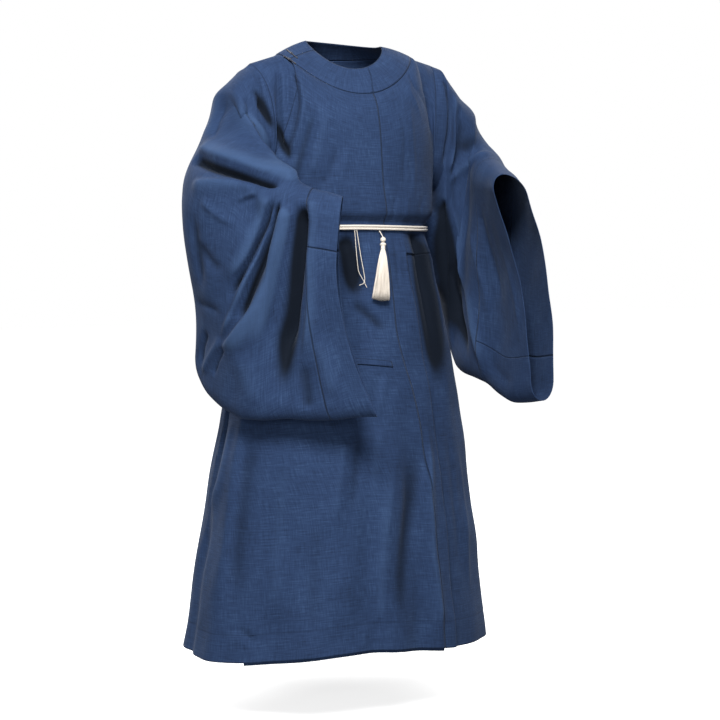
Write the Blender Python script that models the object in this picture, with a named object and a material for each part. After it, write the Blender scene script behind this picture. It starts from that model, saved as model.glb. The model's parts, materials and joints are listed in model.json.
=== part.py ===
"""Round-collar hanfu robe in its worn, hollow form, with its cord belt and tassel.

Metres, +Z up. The front faces -Y and the wearer's left is +X. The origin is the middle of the neck
opening, at the height where the collar rests on the shoulders, which is where the wearer holds it.
"""

import math

import bmesh
import bpy
import numpy as np

# ---------------------------------------------------------------- driving dimensions
ROBE_DROP = 1.364  # shoulder level down to the hem
ARMPIT_DROP = 0.315
BELT_DROP = 0.418
SLIT_DROP = 0.475  # where the side panels are set in, just under the belt
HEM_BAND = 0.060  # depth of the turned and stitched hem
HEM_RISE = 0.036  # how much higher the hem hangs a little right of the centre front
HIGHEST_HEM = -14.0  # ring angle of its highest place
HEM_RISE_WIDTH = 38.0
HEM_TUCK = (0.002, 0.007)  # how far the hem's stitching draws the cloth in: all round, and at the sides
CLOTH = 0.002  # thickness of every cloth wall
SEAM_GAP = 0.0004  # left between two pieces along a seam
TWIST_GAP = 0.0016  # the same where the two walls twist, round the collar and along a sleeve
COLLAR_CROWN = 0.003  # how far the collar band bulges between its two edges
LAYER = 0.0040  # from the middle of one cloth layer to the middle of the next one
LAYER_STEP = (-12.0, -5.0)  # where the lower layer starts to sink and is full, from the closing
INNER_DEPTH = 0.022  # how far inside the left front the inner front hangs
INNER_LEVELS = (0.9, 1.2)  # levels between which it sinks to that depth
INNER_TURN = 5.0  # degrees over which it does so, from the seam
INNER_EDGE = 48.0  # ring angle of its free edge
INNER_SAG = 0.006  # how much lower the right body's hem hangs under the overlapping front
PLEAT_DEPTH = 0.013  # step from the left front's free edge in to the side panel
PLEAT_SPAN = 20.0  # degrees over which the side panel comes back out
PLEAT_LAP = 1.5  # degrees by which it passes under the left front
PLEAT_LEVELS = 0.08  # levels over which it reaches that depth
COLLAR_SPAN = 60.0  # ring angle, from the centre, where the collar reaches the shoulder line
SHOULDER_TIPS = ((-0.234, 0.004, -0.054), (0.236, 0.004, -0.037))  # right and left

# Finishes: base colour and roughness
LINEN = ((0.042, 0.072, 0.150), 0.9)
CREAM_SILK = ((0.70, 0.63, 0.52), 0.8)
DARK_BRAID = ((0.010, 0.013, 0.026), 0.7)

# Edges of the collar band: the neck opening and the seam with the body. half_width, front and back:
# half axes in plan; level: height at the two sides; left_rise: how much higher the left side lies;
# front_drop and back_rise: how far it falls in front and rises behind; bend: how sharply it falls;
# lowest: angle where it lies lowest, a little right of the centre front.
COLLAR_COLUMNS = (
    "half_width", "front", "back", "level", "left_rise", "front_drop", "back_rise", "bend", "lowest",
)
NECK_EDGE = (0.089, 0.086, 0.068, 0.0000, -0.0035, 0.063, 0.008, 1.4, -14.0)
BAND_EDGE = (0.162, 0.130, 0.104, -0.0245, 0.0040, 0.096, -0.004, 1.8, -7.0)

# How the cloth leaves the top edge (out, fall, in towards the neck) and reaches the armpit ring
# (out, from above, in), at the centre line, beside the neck and at the armhole.
DRAPE_COLUMNS = ("leave_out", "leave_fall", "leave_in", "arrive_out", "arrive_rise", "arrive_in")
DRAPE = np.array([
    (0.030, 0.060, 0.000, 0.000, 0.105, 0.000),
    (0.075, 0.016, 0.000, 0.000, 0.105, 0.000),
    (0.092, 0.030, 0.026, 0.088, 0.012, 0.030),
])

# Rings of the body below the armpit. drop: metres below the origin; half_width, front and back:
# half axes of the ring; shift: how far its middle lies towards +X.
BODY_COLUMNS = ("drop", "half_width", "front", "back", "shift")
BODY_RINGS = np.array([
    (0.315, 0.222, 0.162, 0.128, 0.000),
    (0.385, 0.214, 0.166, 0.128, 0.000),
    (0.406, 0.200, 0.151, 0.120, 0.000),
    (0.430, 0.200, 0.151, 0.120, 0.000),
    (0.475, 0.212, 0.164, 0.134, 0.000),
    (0.600, 0.242, 0.192, 0.168, -0.002),
    (0.780, 0.275, 0.226, 0.212, -0.006),
    (1.000, 0.309, 0.258, 0.246, -0.013),
    (1.200, 0.338, 0.283, 0.272, -0.019),
    (1.364, 0.361, 0.302, 0.291, -0.023),
])

# Edges that run down the robe, as ring angles: degrees from the centre front, + to the wearer's
# left. seam: the centre-front seam; left_edge: the left front's free edge below the slit;
# closing: where the overlapping front ends on the wearer's right.
EDGE_COLUMNS = ("drop", "seam", "left_edge", "closing")
EDGE_PATHS = np.array([
    (0.000, 1.0, 19.0, -50.0),
    (0.100, 1.5, 19.0, -51.0),
    (0.200, 2.0, 19.0, -60.0),
    (0.315, 3.0, 19.5, -80.0),
    (0.430, 6.0, 20.0, -89.0),
    (0.640, 6.0, 21.5, -96.0),
    (0.790, 12.5, 24.0, -100.0),
    (0.900, 16.0, 25.0, -103.0),
    (1.150, 20.0, 27.0, -108.0),
    (1.364, 20.5, 26.5, -112.0),
])

# Long folds of the skirt. angle_top and angle_hem: ring angles; drop_top and drop_full: where the
# fold starts and where it is full; width: its half width at the hem; depth: + outwards.
SKIRT_COLUMNS = ("angle_top", "angle_hem", "drop_top", "drop_full", "width", "depth")
SKIRT_FOLDS = np.array([
    (8.0, 10.0, 0.75, 1.15, 0.040, -0.016),
    (-14.0, -10.0, 0.56, 0.70, 0.035, -0.010),
    (-22.0, -30.0, 0.60, 1.20, 0.060, 0.008),
    (-52.0, -50.0, 0.60, 1.10, 0.050, -0.010),
    (-78.0, -76.0, 0.50, 0.95, 0.040, 0.009),
    (-97.0, -97.0, 0.55, 0.95, 0.030, -0.012),
    (-128.0, -130.0, 0.50, 1.00, 0.045, 0.014),
    (-150.0, -152.0, 0.48, 0.95, 0.035, -0.014),
    (-172.0, -170.0, 0.48, 0.95, 0.040, 0.012),
    (168.0, 166.0, 0.48, 0.95, 0.035, -0.012),
    (148.0, 146.0, 0.50, 1.00, 0.045, 0.014),
    (127.0, 126.0, 0.50, 0.95, 0.035, -0.014),
    (104.0, 102.0, 0.50, 0.95, 0.040, 0.010),
    (56.0, 58.0, 0.50, 1.00, 0.045, 0.008),
    (74.0, 78.0, 0.50, 0.95, 0.035, -0.010),
])

FOLD_START = 0.45  # width of a fold where it starts, as a share of its width at the hem

# Sleeve sections, numbered from 0 just outside the armhole to the cuff. top and bottom: the highest
# and lowest points; front: half thickness under the top on the side that faces forward at the
# shoulder and lies in the bend of the arm further on; back: the same on the other side; hem: half
# thickness at the bottom; heading: the way the sleeve runs in plan, in degrees from +X; bow and
# sway: how far the section's middle lies forward along it and to its left.
SLEEVE_COLUMNS = (
    "top_x", "top_y", "top_z", "bottom_x", "bottom_y", "bottom_z",
    "front", "back", "hem", "heading", "bow", "sway",
)
RIGHT_SECTIONS = np.array([
    (-0.252, 0.004, -0.070, -0.246, 0.008, -0.328, 0.068, 0.068, 0.056, 182, 0.00, 0.00),
    (-0.292, 0.000, -0.124, -0.266, 0.030, -0.480, 0.055, 0.085, 0.050, 188, 0.00, 0.00),
    (-0.284, -0.042, -0.174, -0.294, 0.045, -0.645, 0.040, 0.122, 0.040, 210, 0.00, 0.00),
    (-0.270, -0.088, -0.224, -0.330, 0.034, -0.758, 0.030, 0.148, 0.030, 238, 0.00, 0.00),
    (-0.254, -0.138, -0.274, -0.308, -0.112, -0.828, 0.030, 0.085, 0.026, 278, 0.00, 0.00),
    (-0.222, -0.192, -0.316, -0.226, -0.222, -0.826, 0.040, 0.055, 0.026, 303, -0.01, 0.00),
    (-0.168, -0.282, -0.350, -0.112, -0.345, -0.813, 0.043, 0.043, 0.024, 307, -0.04, 0.00),
])
LEFT_SECTIONS = np.array([
    (0.254, 0.004, -0.046, 0.246, 0.008, -0.328, 0.070, 0.070, 0.056, -2, 0.00, 0.000),
    (0.298, 0.004, -0.098, 0.266, 0.030, -0.470, 0.072, 0.072, 0.050, -4, 0.00, 0.000),
    (0.358, -0.006, -0.154, 0.300, 0.042, -0.630, 0.068, 0.068, 0.040, -26, 0.00, 0.000),
    (0.362, -0.050, -0.220, 0.322, 0.010, -0.745, 0.060, 0.060, 0.030, -62, 0.00, 0.006),
    (0.330, -0.120, -0.258, 0.318, -0.125, -0.780, 0.054, 0.054, 0.030, -88, 0.00, 0.014),
    (0.292, -0.205, -0.280, 0.314, -0.250, -0.814, 0.048, 0.048, 0.030, -97, 0.00, 0.022),
    (0.254, -0.282, -0.297, 0.311, -0.352, -0.798, 0.041, 0.041, 0.029, -98, 0.00, 0.027),
])

# Largest folds of the sleeves. side: 1 for the half that faces forward at the shoulder, -1 for the
# other; from and to: section number and share of the way down; depth: + outwards.
FOLD_COLUMNS = ("side", "from_section", "from_share", "to_section", "to_share", "width", "depth")
RIGHT_FOLDS = np.array([
    (-1, 4.2, 0.05, 5.1, 0.88, 0.034, -0.016),
    (-1, 3.0, 0.20, 4.0, 0.75, 0.040, 0.010),
    (-1, 3.6, 0.10, 4.6, 0.20, 0.030, -0.010),
    (1, 0.3, 0.10, 1.2, 0.55, 0.035, -0.012),
    (1, 0.9, 0.10, 1.8, 0.45, 0.035, 0.010),
    (-1, 0.8, 0.30, 2.0, 0.80, 0.045, -0.012),
])
LEFT_FOLDS = np.array([
    (1, 4.8, 0.20, 4.6, 0.90, 0.040, -0.010),
    (1, 3.6, 0.15, 3.8, 0.85, 0.035, 0.010),
    (1, 0.3, 0.10, 1.2, 0.55, 0.035, -0.012),
    (-1, 3.2, 0.20, 4.2, 0.80, 0.045, -0.010),
    (-1, 0.8, 0.30, 2.0, 0.80, 0.045, -0.012),
])
SECTION_STEP = 0.09  # about how far apart two sections are, for the folds' widths
SECTION_DEPTH = 0.50  # about how deep a section is
FOLD_END = 0.15  # how much of a fold is left at its two ends
TOP_ROUNDING = 1.1  # how far down a section is full, in half thicknesses
HEM_ROUNDING = 1.6
LAP_SHARES = (0.6, 0.8)  # how far down the armhole the sleeve starts to lap over the body, and laps
LAP_GAP = 0.002  # between the two where it does
RIGHT_JOIN = 5.25  # section where the sleeve's end is sewn on
LEFT_JOIN = 4.0
SHORTEST_RUN = 0.1  # a ring of the tube nearer than this to its end is left out
RIGHT_PIECING = 4  # steps down from the sleeve's top to the seam between the end's two pieces
LEFT_PIECING = 8.5
RIGHT_CUT = 8  # steps down to the cut that parts the right tube's solid lengthwise

# Pocket welt on the overlapping front
WELT_COLUMNS = (2.7, 3.0, 4.0, 5.0, 6.0, 6.2)  # stretch it covers, counted in that front's columns
WELT_DROPS = (0.708, 0.722)
WELT_SLOPE = 0.012  # how much lower its left end is
WELT_CLOTH = 0.0012
WELT_CLEAR = 0.0012  # between the welt and the cloth under it

# Belt: two cords side by side, and a thread looped over them
CORD_RADIUS = 0.0029
CORD_CLEAR = 0.0006  # between the cords and the cloth
CORD_APART = 0.0004  # between the two cords
THREAD_RADIUS = 0.0007
THREAD_HANG = 0.0030  # of the thread's middle off the cloth
TIE_GAP = 0.0004  # between the thread's knot and its strands
KNOT_RADIUS = 0.0022
KNOT_PLACE = (-11.5, 0.544)  # ring angle and drop
STRAND_TOP = BELT_DROP + 2 * CORD_RADIUS + 0.0007  # just under the lower cord
STRAND_STOPS = (
    ((-15.6, STRAND_TOP), (-15.4, 0.470), (-14.8, 0.516), (-12.6, 0.535)),
    ((-14.2, STRAND_TOP), (-12.9, 0.480), (-11.6, 0.520), (-11.2, 0.535)),
)
END_STOPS = ((-14.6, 0.550), (-10.2, 0.555))
END_SAG = 0.0008

# Tassel hung from the belt by a short cord and a bead
TASSEL_ANGLES = (1.5, -3.0)  # ring angles of its head and of its strands' ends
TASSEL_TOP = 0.457  # drop of the top of its head
TASSEL_CLEAR = 0.0135  # of its middle line off the cloth
TASSEL_CORD_RADIUS = 0.0011
TASSEL_HANG = 2.5 * CORD_RADIUS  # below the belt's middle, where its cord starts
BEAD_RADIUS = 0.006
BEAD_GAP = 0.0006
NECK_RADIUS = 0.0046  # where the strands leave the head
HEAD_RADIUS = 0.0058  # top of the short cone above them
NECK_LENGTH = 0.0063
HEAD_STEPS = ((0.0030, 1.22), (0.0035, 1.0), (0.0030, 0.72))  # rise, and widening, of the head
TASSEL_DROP = 0.118  # length of its strands
TASSEL_REACH = 0.022  # radius of the strands' ends
STRAND_RINGS = 3
STRAND_APART = 0.00016  # half the space between two strands' roots
STRAND_SHARES = (0.35, 1.0)  # how far down the strands bend and end
STRAND_FLATNESS = 0.15  # how much less they spread front to back
STRAND_UNEVEN = 0.02  # share of their length by which their ends differ
UNEVEN_TURNS = (7.3, 40.0)  # how fast the ends' lengths vary, round the tassel and outwards
STRAND_SPREAD = 0.7  # exponent of how the strands spread on their way down
RIM_CELLS = 0.6  # width of the underside's rim and middle, in cells

# Fastenings across the closing, by the collar's end. Each runs between two places: on the collar
# these are an angle and a share across the band, on the body a ring angle and a level.
FROG_ON_COLLAR = ((-90.0, 0.74), (-71.0, 0.78))
FROG_ON_BODY = ((-57.0, 0.060), (-47.0, 0.075))
FROG_RADIUS = 0.0013
FROG_LIFT = 0.0028  # of its middle line off the cloth
FROG_KNOT = (1.1, 0.12)  # extra thickness at its middle, and how far that reaches
FROG_ENDS = (0.25, 0.08)

# Mesh resolution
OVERLAP_COLUMNS = 7
FACING_COLUMNS = 2
FRONT_COLUMNS = 4
SIDE_COLUMNS = 3
BACK_COLUMNS = 6
UNDERLAP_COLUMNS = 5
PANEL_COLUMNS = 10
BAND_COLUMNS = 3
UPPER_STEPS = 12
LOWER_DROPS = (
    0.350, 0.380, 0.406, 0.430, 0.475, 0.540, 0.630, 0.730, 0.840,
    0.960, 1.080, 1.200, 1.300, 1.3055, 1.364,
)
SLEEVE_STEPS = 3  # rings for each section
SLEEVE_SIDE = 12  # steps from the sleeve's top to its bottom
BELT_POINTS = 40
BALL_STEPS = 9  # rings of a bead or knot
STRAND_POINTS = 12
END_POINTS = 6
SHARP_EDGE = 40.0  # degrees above which an edge is shaded sharp
SAME_PLACE = 1e-6  # points nearer than this are one
ANGLE_STEP = 0.4  # steps for slopes: degrees, levels, sections and steps round a sleeve
LEVEL_STEP = 0.01
RUN_STEP = 0.04
ROUND_STEP = 0.1


# ---------------------------------------------------------------- curves through tables
def through(keys, values, at):
    """Smooth curve through a table: cubic pieces whose slopes never overshoot the table's values."""
    keys, values = np.asarray(keys, float), np.asarray(values, float)
    steps = np.diff(keys)
    rises = np.diff(values) / steps
    slopes = np.zeros_like(values)
    slopes[0], slopes[-1] = rises[0], rises[-1]
    same_way = rises[:-1] * rises[1:] > 0
    mean = 2 * rises[:-1] * rises[1:] / np.where(same_way, rises[:-1] + rises[1:], 1)
    slopes[1:-1] = np.where(same_way, mean, 0)
    at = np.clip(at, keys[0], keys[-1])
    cell = np.clip(np.searchsorted(keys, at, side="right") - 1, 0, len(steps) - 1)
    t = (at - keys[cell]) / steps[cell]
    start, end = values[cell], values[cell + 1]
    run = steps[cell]
    return (
        start * (2 * t**3 - 3 * t**2 + 1)
        + slopes[cell] * run * (t**3 - 2 * t**2 + t)
        + end * (3 * t**2 - 2 * t**3)
        + slopes[cell + 1] * run * (t**3 - t**2)
    )


def ease(x):
    """0 below 0, 1 above 1, and a smooth step between."""
    x = np.clip(x, 0.0, 1.0)
    return x * x * (3 - 2 * x)


def mix(a, b, share):
    return a + (b - a) * share


def stack(*parts):
    """Points from their x, y and z arrays."""
    return np.stack(np.broadcast_arrays(*parts), axis=-1)


# ---------------------------------------------------------------- the body's form
def ring_value(column, drop):
    return through(BODY_RINGS[:, 0], BODY_RINGS[:, BODY_COLUMNS.index(column)], drop)


def edge_value(column, drop):
    return through(EDGE_PATHS[:, 0], EDGE_PATHS[:, EDGE_COLUMNS.index(column)], drop)


def hem_step(angle, drop):
    """The stitched hem draws the cloth in just under its top line, most at the two sides."""
    under = np.where(drop > ROBE_DROP - HEM_BAND, 1.0, 0.0)
    fade = np.clip((ROBE_DROP - drop) / HEM_BAND, 0, 1)
    at_side = np.sin(np.radians(angle)) ** 2
    return -under * fade * (HEM_TUCK[0] + HEM_TUCK[1] * at_side)


def skirt_folds(angle, drop):
    """Sum of the long folds, as a distance outwards."""
    around = 0.5 * (ring_value("half_width", drop) + ring_value("front", drop))
    total = np.zeros_like(angle + drop)
    for top, hem, start, full, width, depth in SKIRT_FOLDS:
        along = np.clip((drop - start) / (ROBE_DROP - start), 0, 1)
        turn = (angle - mix(top, hem, along) + 180) % 360 - 180
        reach = width * mix(FOLD_START, 1.0, along)
        shape = np.exp(-((np.radians(turn) * around / reach) ** 2))
        total += depth * ease((drop - start) / (full - start)) * shape
    return total


def lower_body(angle, drop):
    """Point of the body below the armpit: an ellipse at that drop, let out and in by the folds."""
    turn = np.radians(angle)
    depth = np.where(np.abs(angle) <= 90, ring_value("front", drop), ring_value("back", drop))
    wide = ring_value("half_width", drop)
    out = skirt_folds(angle, drop) + hem_step(angle, drop)
    share = (drop - ARMPIT_DROP) / (ROBE_DROP - ARMPIT_DROP)
    rise = HEM_RISE * np.exp(-(((angle - HIGHEST_HEM) / HEM_RISE_WIDTH) ** 2)) * share
    return stack(
        ring_value("shift", drop) + (wide + out) * np.sin(turn),
        -(depth + out) * np.cos(turn),
        rise - drop,
    )


def collar_edge(angle, across):
    """Point of the collar's surface, from the neck opening (across 0) to its seam (across 1).

    An ellipse in plan, low in front and almost level behind.
    """
    edge = {name: mix(inner, outer, across) for name, inner, outer in
            zip(COLLAR_COLUMNS, NECK_EDGE, BAND_EDGE)}
    turn = np.radians(angle)
    forward = np.clip(np.cos(turn - np.radians(edge["lowest"])), 0, 1) ** edge["bend"]
    behind = np.clip(-np.cos(turn), 0, 1) ** edge["bend"]
    height = edge["level"] + edge["left_rise"] * np.sin(turn)
    depth = np.where(np.cos(turn) >= 0, edge["front"], edge["back"])
    return stack(
        edge["half_width"] * np.sin(turn),
        -depth * np.cos(turn),
        height - edge["front_drop"] * forward + edge["back_rise"] * behind,
    )


def side_of(angle):
    return np.where(angle < 0, -1.0, 1.0)


def folded(angle, behind):
    """Degrees from the nearer centre line, 0 to 90, kept on its own side of the shoulder line."""
    size = np.abs(angle)
    return np.where(behind, 180 - np.maximum(size, 90), np.minimum(size, 90))


def top_edge(angle, behind):
    """Top of the body: along the collar's seam, then along the shoulder line to its tip."""
    away = folded(angle, behind)
    at_collar = np.clip(away / COLLAR_SPAN, 0, 1) * 90
    on_collar = collar_edge(side_of(angle) * np.where(behind, 180 - at_collar, at_collar), 1.0)
    along = np.clip((away - COLLAR_SPAN) / (90 - COLLAR_SPAN), 0, 1)
    right_tip, left_tip = np.array(SHOULDER_TIPS)
    tip = np.where((angle < 0)[..., None], right_tip, left_tip)
    return mix(on_collar, tip, mix(along, ease(along), 0.35)[..., None])


def upper_body(angle, down, behind):
    """Point between the top edge (down 0) and the armpit ring (down 1), on a cubic Bezier curve.

    Near the middle the curve leaves along the collar's slope; from the shoulder line it leaves
    level, as cloth does over a shoulder; at the armhole it bows in round the arm.
    """
    side = side_of(angle)
    facing = np.where(behind, 1.0, -1.0)
    away = folded(angle, behind)
    top = top_edge(angle, behind)
    ring_angle = side * np.where(behind, 180 - away, away)
    foot = lower_body(ring_angle, np.full_like(away, ARMPIT_DROP))
    beside_neck = ease(away / COLLAR_SPAN)
    at_armhole = ease((away - COLLAR_SPAN) / (90 - COLLAR_SPAN)) ** 2
    centre, neck, armhole = DRAPE
    drape = {
        name: mix(mix(centre[i], neck[i], beside_neck), armhole[i], at_armhole)
        for i, name in enumerate(DRAPE_COLUMNS)
    }
    leave = stack(-side * drape["leave_in"], facing * drape["leave_out"], -drape["leave_fall"])
    arrive = stack(-side * drape["arrive_in"], facing * drape["arrive_out"], drape["arrive_rise"])
    t = down[..., None]
    return (
        top * (1 - t) ** 3
        + (top + leave) * 3 * t * (1 - t) ** 2
        + (foot + arrive) * 3 * t**2 * (1 - t)
        + foot * t**3
    )


def drop_of(level):
    """Nominal drop of a level: 0 at the top edge, 1 at the armpit, 2 at the hem."""
    return np.where(level < 1, ARMPIT_DROP * level, mix(ARMPIT_DROP, ROBE_DROP, level - 1))


def level_of(drop):
    return 1 + (np.asarray(drop) - ARMPIT_DROP) / (ROBE_DROP - ARMPIT_DROP)


def body(angle, level, behind):
    """The robe's body at a ring angle and a level. behind tells the back from the front where both
    reach the same angle, at the armholes and along the shoulder line."""
    high = upper_body(angle, np.clip(level, 0, 1), behind)
    low = lower_body(angle, drop_of(np.maximum(level, 1)))
    return np.where((level <= 1)[..., None], high, low)


def body_normal(angle, level, behind):
    """Outward direction, from the slopes of the body along both of its parameters."""
    size = np.abs(angle)
    one_sided = level < 1
    low_limit = np.where(one_sided & behind, 90.0, 0.0)
    high_limit = np.where(one_sided & ~np.asarray(behind), 90.0, 360.0)
    side = side_of(angle)
    first = side * np.clip(size - ANGLE_STEP, low_limit, high_limit)
    second = side * np.clip(size + ANGLE_STEP, low_limit, high_limit)
    across = (body(second, level, behind) - body(first, level, behind)) * side[..., None]
    above = body(angle, np.maximum(level - LEVEL_STEP, 0.0), behind)
    below = body(angle, np.minimum(level + LEVEL_STEP, 2.0), behind)
    return unit(np.cross(below - above, across))


def unit(vectors):
    return vectors / np.maximum(np.linalg.norm(vectors, axis=-1, keepdims=True), 1e-12)


# ---------------------------------------------------------------- cloth walls
def grid_faces(rows, columns, start):
    """Two triangles for each cell, split the same way everywhere, so that layers run parallel."""
    at = start + np.arange(rows * columns).reshape(rows, columns)
    a, b, c, d = at[:-1, :-1].ravel(), at[1:, :-1].ravel(), at[1:, 1:].ravel(), at[:-1, 1:].ravel()
    return np.concatenate([np.stack([a, b, c], axis=1), np.stack([a, c, d], axis=1)])


def cloth_wall(name, patches, thickness=CLOTH):
    """One closed wall of cloth from grids of points and their outward normals.

    Points that two grids share become one. Each point gives an outer and an inner one, and every
    open edge is closed with a strip as wide as the cloth is thick.
    """
    points, normals, faces = [], [], []
    count = 0
    for grid, normal in patches:
        points.append(grid.reshape(-1, 3))
        normals.append(normal.reshape(-1, 3))
        faces.append(grid_faces(grid.shape[0], grid.shape[1], count))
        count += points[-1].shape[0]
    points, normals, faces = map(np.concatenate, (points, normals, faces))
    place = np.round(points / SAME_PLACE).astype(np.int64)
    _, first, index = np.unique(place, axis=0, return_index=True, return_inverse=True)
    index = index.reshape(-1)
    summed = np.zeros((len(first), 3))
    np.add.at(summed, index, normals)
    middle, out = points[first], unit(summed)
    corners = [list(dict.fromkeys(face)) for face in index[faces].tolist()]
    corners = [face for face in corners if len(face) > 2]
    a, b, c = (middle[[face[i] for face in corners]] for i in range(3))
    facing = np.cross(b - a, c - a)
    mean = unit(sum(out[[face[i] for face in corners]] for i in range(3)))
    if (facing * mean).sum() < 0:
        corners = [face[::-1] for face in corners]
    total = len(middle)
    edges = {(f[i], f[(i + 1) % len(f)]) for f in corners for i in range(len(f))}
    rims = [(b, a, a + total, b + total) for a, b in sorted(edges) if (b, a) not in edges]
    inner = [[i + total for i in face[::-1]] for face in corners]
    half = out * thickness / 2
    mesh = bpy.data.meshes.new(name)
    mesh.from_pydata(np.concatenate([middle + half, middle - half]).tolist(), [], corners + inner + rims)
    mesh.update()
    mesh.shade_smooth()
    mesh.set_sharp_from_angle(angle=math.radians(SHARP_EDGE))
    add_object(name, mesh, LINEN)


def pull_in(grid, edge, gap=SEAM_GAP):
    """Moves one edge of a grid back into the cloth, to leave a seam's gap."""
    if edge in ("first_column", "last_column"):
        pull_in(grid.transpose(1, 0, 2), edge.replace("column", "row"), gap)
        return
    end, inside = (0, 1) if edge == "first_row" else (-1, -2)
    grid[end] += unit(grid[inside] - grid[end]) * gap


def add_object(name, data, finish):
    """Object with a material of its own, in the robe's collection."""
    data.materials.append(material(name, *finish))
    obj = bpy.data.objects.new(name, data)
    ROBE.objects.link(obj)
    return obj


def material(name, colour, roughness):
    made = bpy.data.materials.new(name)
    made.use_nodes = True
    shader = made.node_tree.nodes["Principled BSDF"]
    shader.inputs["Base Color"].default_value = (*colour, 1)
    shader.inputs["Roughness"].default_value = roughness
    shader.inputs["Metallic"].default_value = 0.0
    return made


# ---------------------------------------------------------------- body pieces
LEVELS = np.concatenate([np.linspace(0, 1, UPPER_STEPS + 1), level_of(LOWER_DROPS)])
SLIT = int(np.argmin(np.abs(LEVELS - level_of(SLIT_DROP))))
ABOVE_SLIT = LEVELS[:SLIT + 1]
BELOW_SLIT = LEVELS[SLIT:]


def seam(level):
    return edge_value("seam", drop_of(level))


def left_edge(level):
    return edge_value("left_edge", drop_of(level))


def closing(level):
    return edge_value("closing", drop_of(level))


def fixed(angle):
    return lambda level: np.full_like(level, angle)


def no_offset(angle, level):
    return np.zeros_like(angle + level)


def under_overlap(angle, level):
    """The right body lies one layer deeper wherever the overlapping front covers it."""
    start, full = LAYER_STEP
    return -LAYER * ease((angle - closing(level) - start) / (full - start))


def between(start, end, columns):
    """Columns that run down the body, evenly spaced between two edges."""
    return lambda level: mix(start(level), end(level), np.linspace(0, 1, columns + 1))


def patch(stations, levels=LEVELS, behind=False, offset=no_offset):
    """Grid of body points on columns that run down it, with the outward normals."""
    level = levels[:, None]
    angle = stations(level)
    level = np.broadcast_to(level, angle.shape)
    normal = body_normal(angle, level, behind)
    return body(angle, level, behind) + normal * offset(angle, level)[..., None], normal


FRONT_SIDE = fixed(COLLAR_SPAN)  # left side, where the side panels reach in front and behind
BACK_SIDE = fixed(180 - COLLAR_SPAN)
RIGHT_FRONT_SIDE = fixed(-COLLAR_SPAN)
RIGHT_BACK_SIDE = fixed(COLLAR_SPAN - 180)
RIGHT_FRONT = between(RIGHT_FRONT_SIDE, seam, OVERLAP_COLUMNS)
RIGHT_SIDE_FRONT = between(fixed(-90), RIGHT_FRONT_SIDE, SIDE_COLUMNS)
RIGHT_SIDE_BACK = between(RIGHT_BACK_SIDE, fixed(-90), SIDE_COLUMNS)
RIGHT_BACK = between(fixed(-180), RIGHT_BACK_SIDE, BACK_COLUMNS)
LEFT_FACING = between(seam, left_edge, FACING_COLUMNS)
LEFT_FRONT = between(left_edge, FRONT_SIDE, FRONT_COLUMNS)
LEFT_SIDE_FRONT = between(FRONT_SIDE, fixed(90), SIDE_COLUMNS)
LEFT_SIDE_BACK = between(fixed(90), BACK_SIDE, SIDE_COLUMNS)
LEFT_BACK = between(BACK_SIDE, fixed(180), BACK_COLUMNS)


def overlap_columns(level):
    """The right body's own columns, as far as the closing, so that the two layers run parallel."""
    columns = np.concatenate([
        RIGHT_SIDE_BACK(level)[:, :-1], RIGHT_SIDE_FRONT(level)[:, :-1], RIGHT_FRONT(level)
    ], axis=1)
    return np.maximum(columns, closing(level))


def body_right():
    """Cut in one over the shoulder; its solids part at the shoulder, the side and the slit."""
    front = patch(RIGHT_FRONT, ABOVE_SLIT, offset=under_overlap)
    side_front = patch(RIGHT_SIDE_FRONT, ABOVE_SLIT, offset=under_overlap)
    side_back = patch(RIGHT_SIDE_BACK, ABOVE_SLIT, behind=True, offset=under_overlap)
    back = patch(RIGHT_BACK, ABOVE_SLIT, behind=True)
    shoulder = unit(side_front[1][0] + side_back[1][0, ::-1])
    side_front[1][0], side_back[1][0] = shoulder, shoulder[::-1]
    front[1][0, 0] = back[1][0, -1] = shoulder[-1]
    cloth_wall("body_right", [front, side_front])
    for piece in (side_back, back):
        pull_in(piece[0], "first_row")
    pull_in(side_back[0], "last_column")
    pull_in(back[0], "first_column")
    cloth_wall("body_right_back", [side_back, back])
    front_skirt = patch(RIGHT_FRONT, BELOW_SLIT, offset=under_overlap)
    pull_in(front_skirt[0], "first_row")
    front_skirt[0][-1, :, 2] -= INNER_SAG
    cloth_wall("body_right_front_skirt", [front_skirt])
    back_skirt = patch(RIGHT_BACK, BELOW_SLIT, behind=True)
    pull_in(back_skirt[0], "first_row")
    pull_in(back_skirt[0], "first_column")
    cloth_wall("body_right_back_skirt", [back_skirt])


def body_left():
    facing = patch(LEFT_FACING)
    front = patch(LEFT_FRONT, ABOVE_SLIT)
    side_front = patch(LEFT_SIDE_FRONT, ABOVE_SLIT)
    side_back = patch(LEFT_SIDE_BACK, ABOVE_SLIT, behind=True)
    back = patch(LEFT_BACK, ABOVE_SLIT, behind=True)
    cloth_wall("body_left", [facing, front, side_front, side_back, back])
    back_skirt = patch(LEFT_BACK, BELOW_SLIT, behind=True)
    pull_in(back_skirt[0], "first_row")
    cloth_wall("body_left_back_skirt", [back_skirt])


def front_overlap():
    for name, levels in (("front_overlap", ABOVE_SLIT), ("front_overlap_skirt", BELOW_SLIT)):
        covering = patch(overlap_columns, levels)
        pull_in(covering[0], "last_column")
        if levels is BELOW_SLIT:
            pull_in(covering[0], "first_row")
        cloth_wall(name, [covering])


def front_underlap():
    """The inner front, sewn to the right body's front edge and hanging inside the left front."""

    def well_inside(angle, level):
        below = ease((level - INNER_LEVELS[0]) / (INNER_LEVELS[1] - INNER_LEVELS[0]))
        return -LAYER - INNER_DEPTH * below * ease((angle - seam(level)) / INNER_TURN)

    inner = patch(between(seam, fixed(INNER_EDGE), UNDERLAP_COLUMNS), offset=well_inside)
    pull_in(inner[0], "first_column")
    cloth_wall("front_underlap", [inner])


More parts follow.
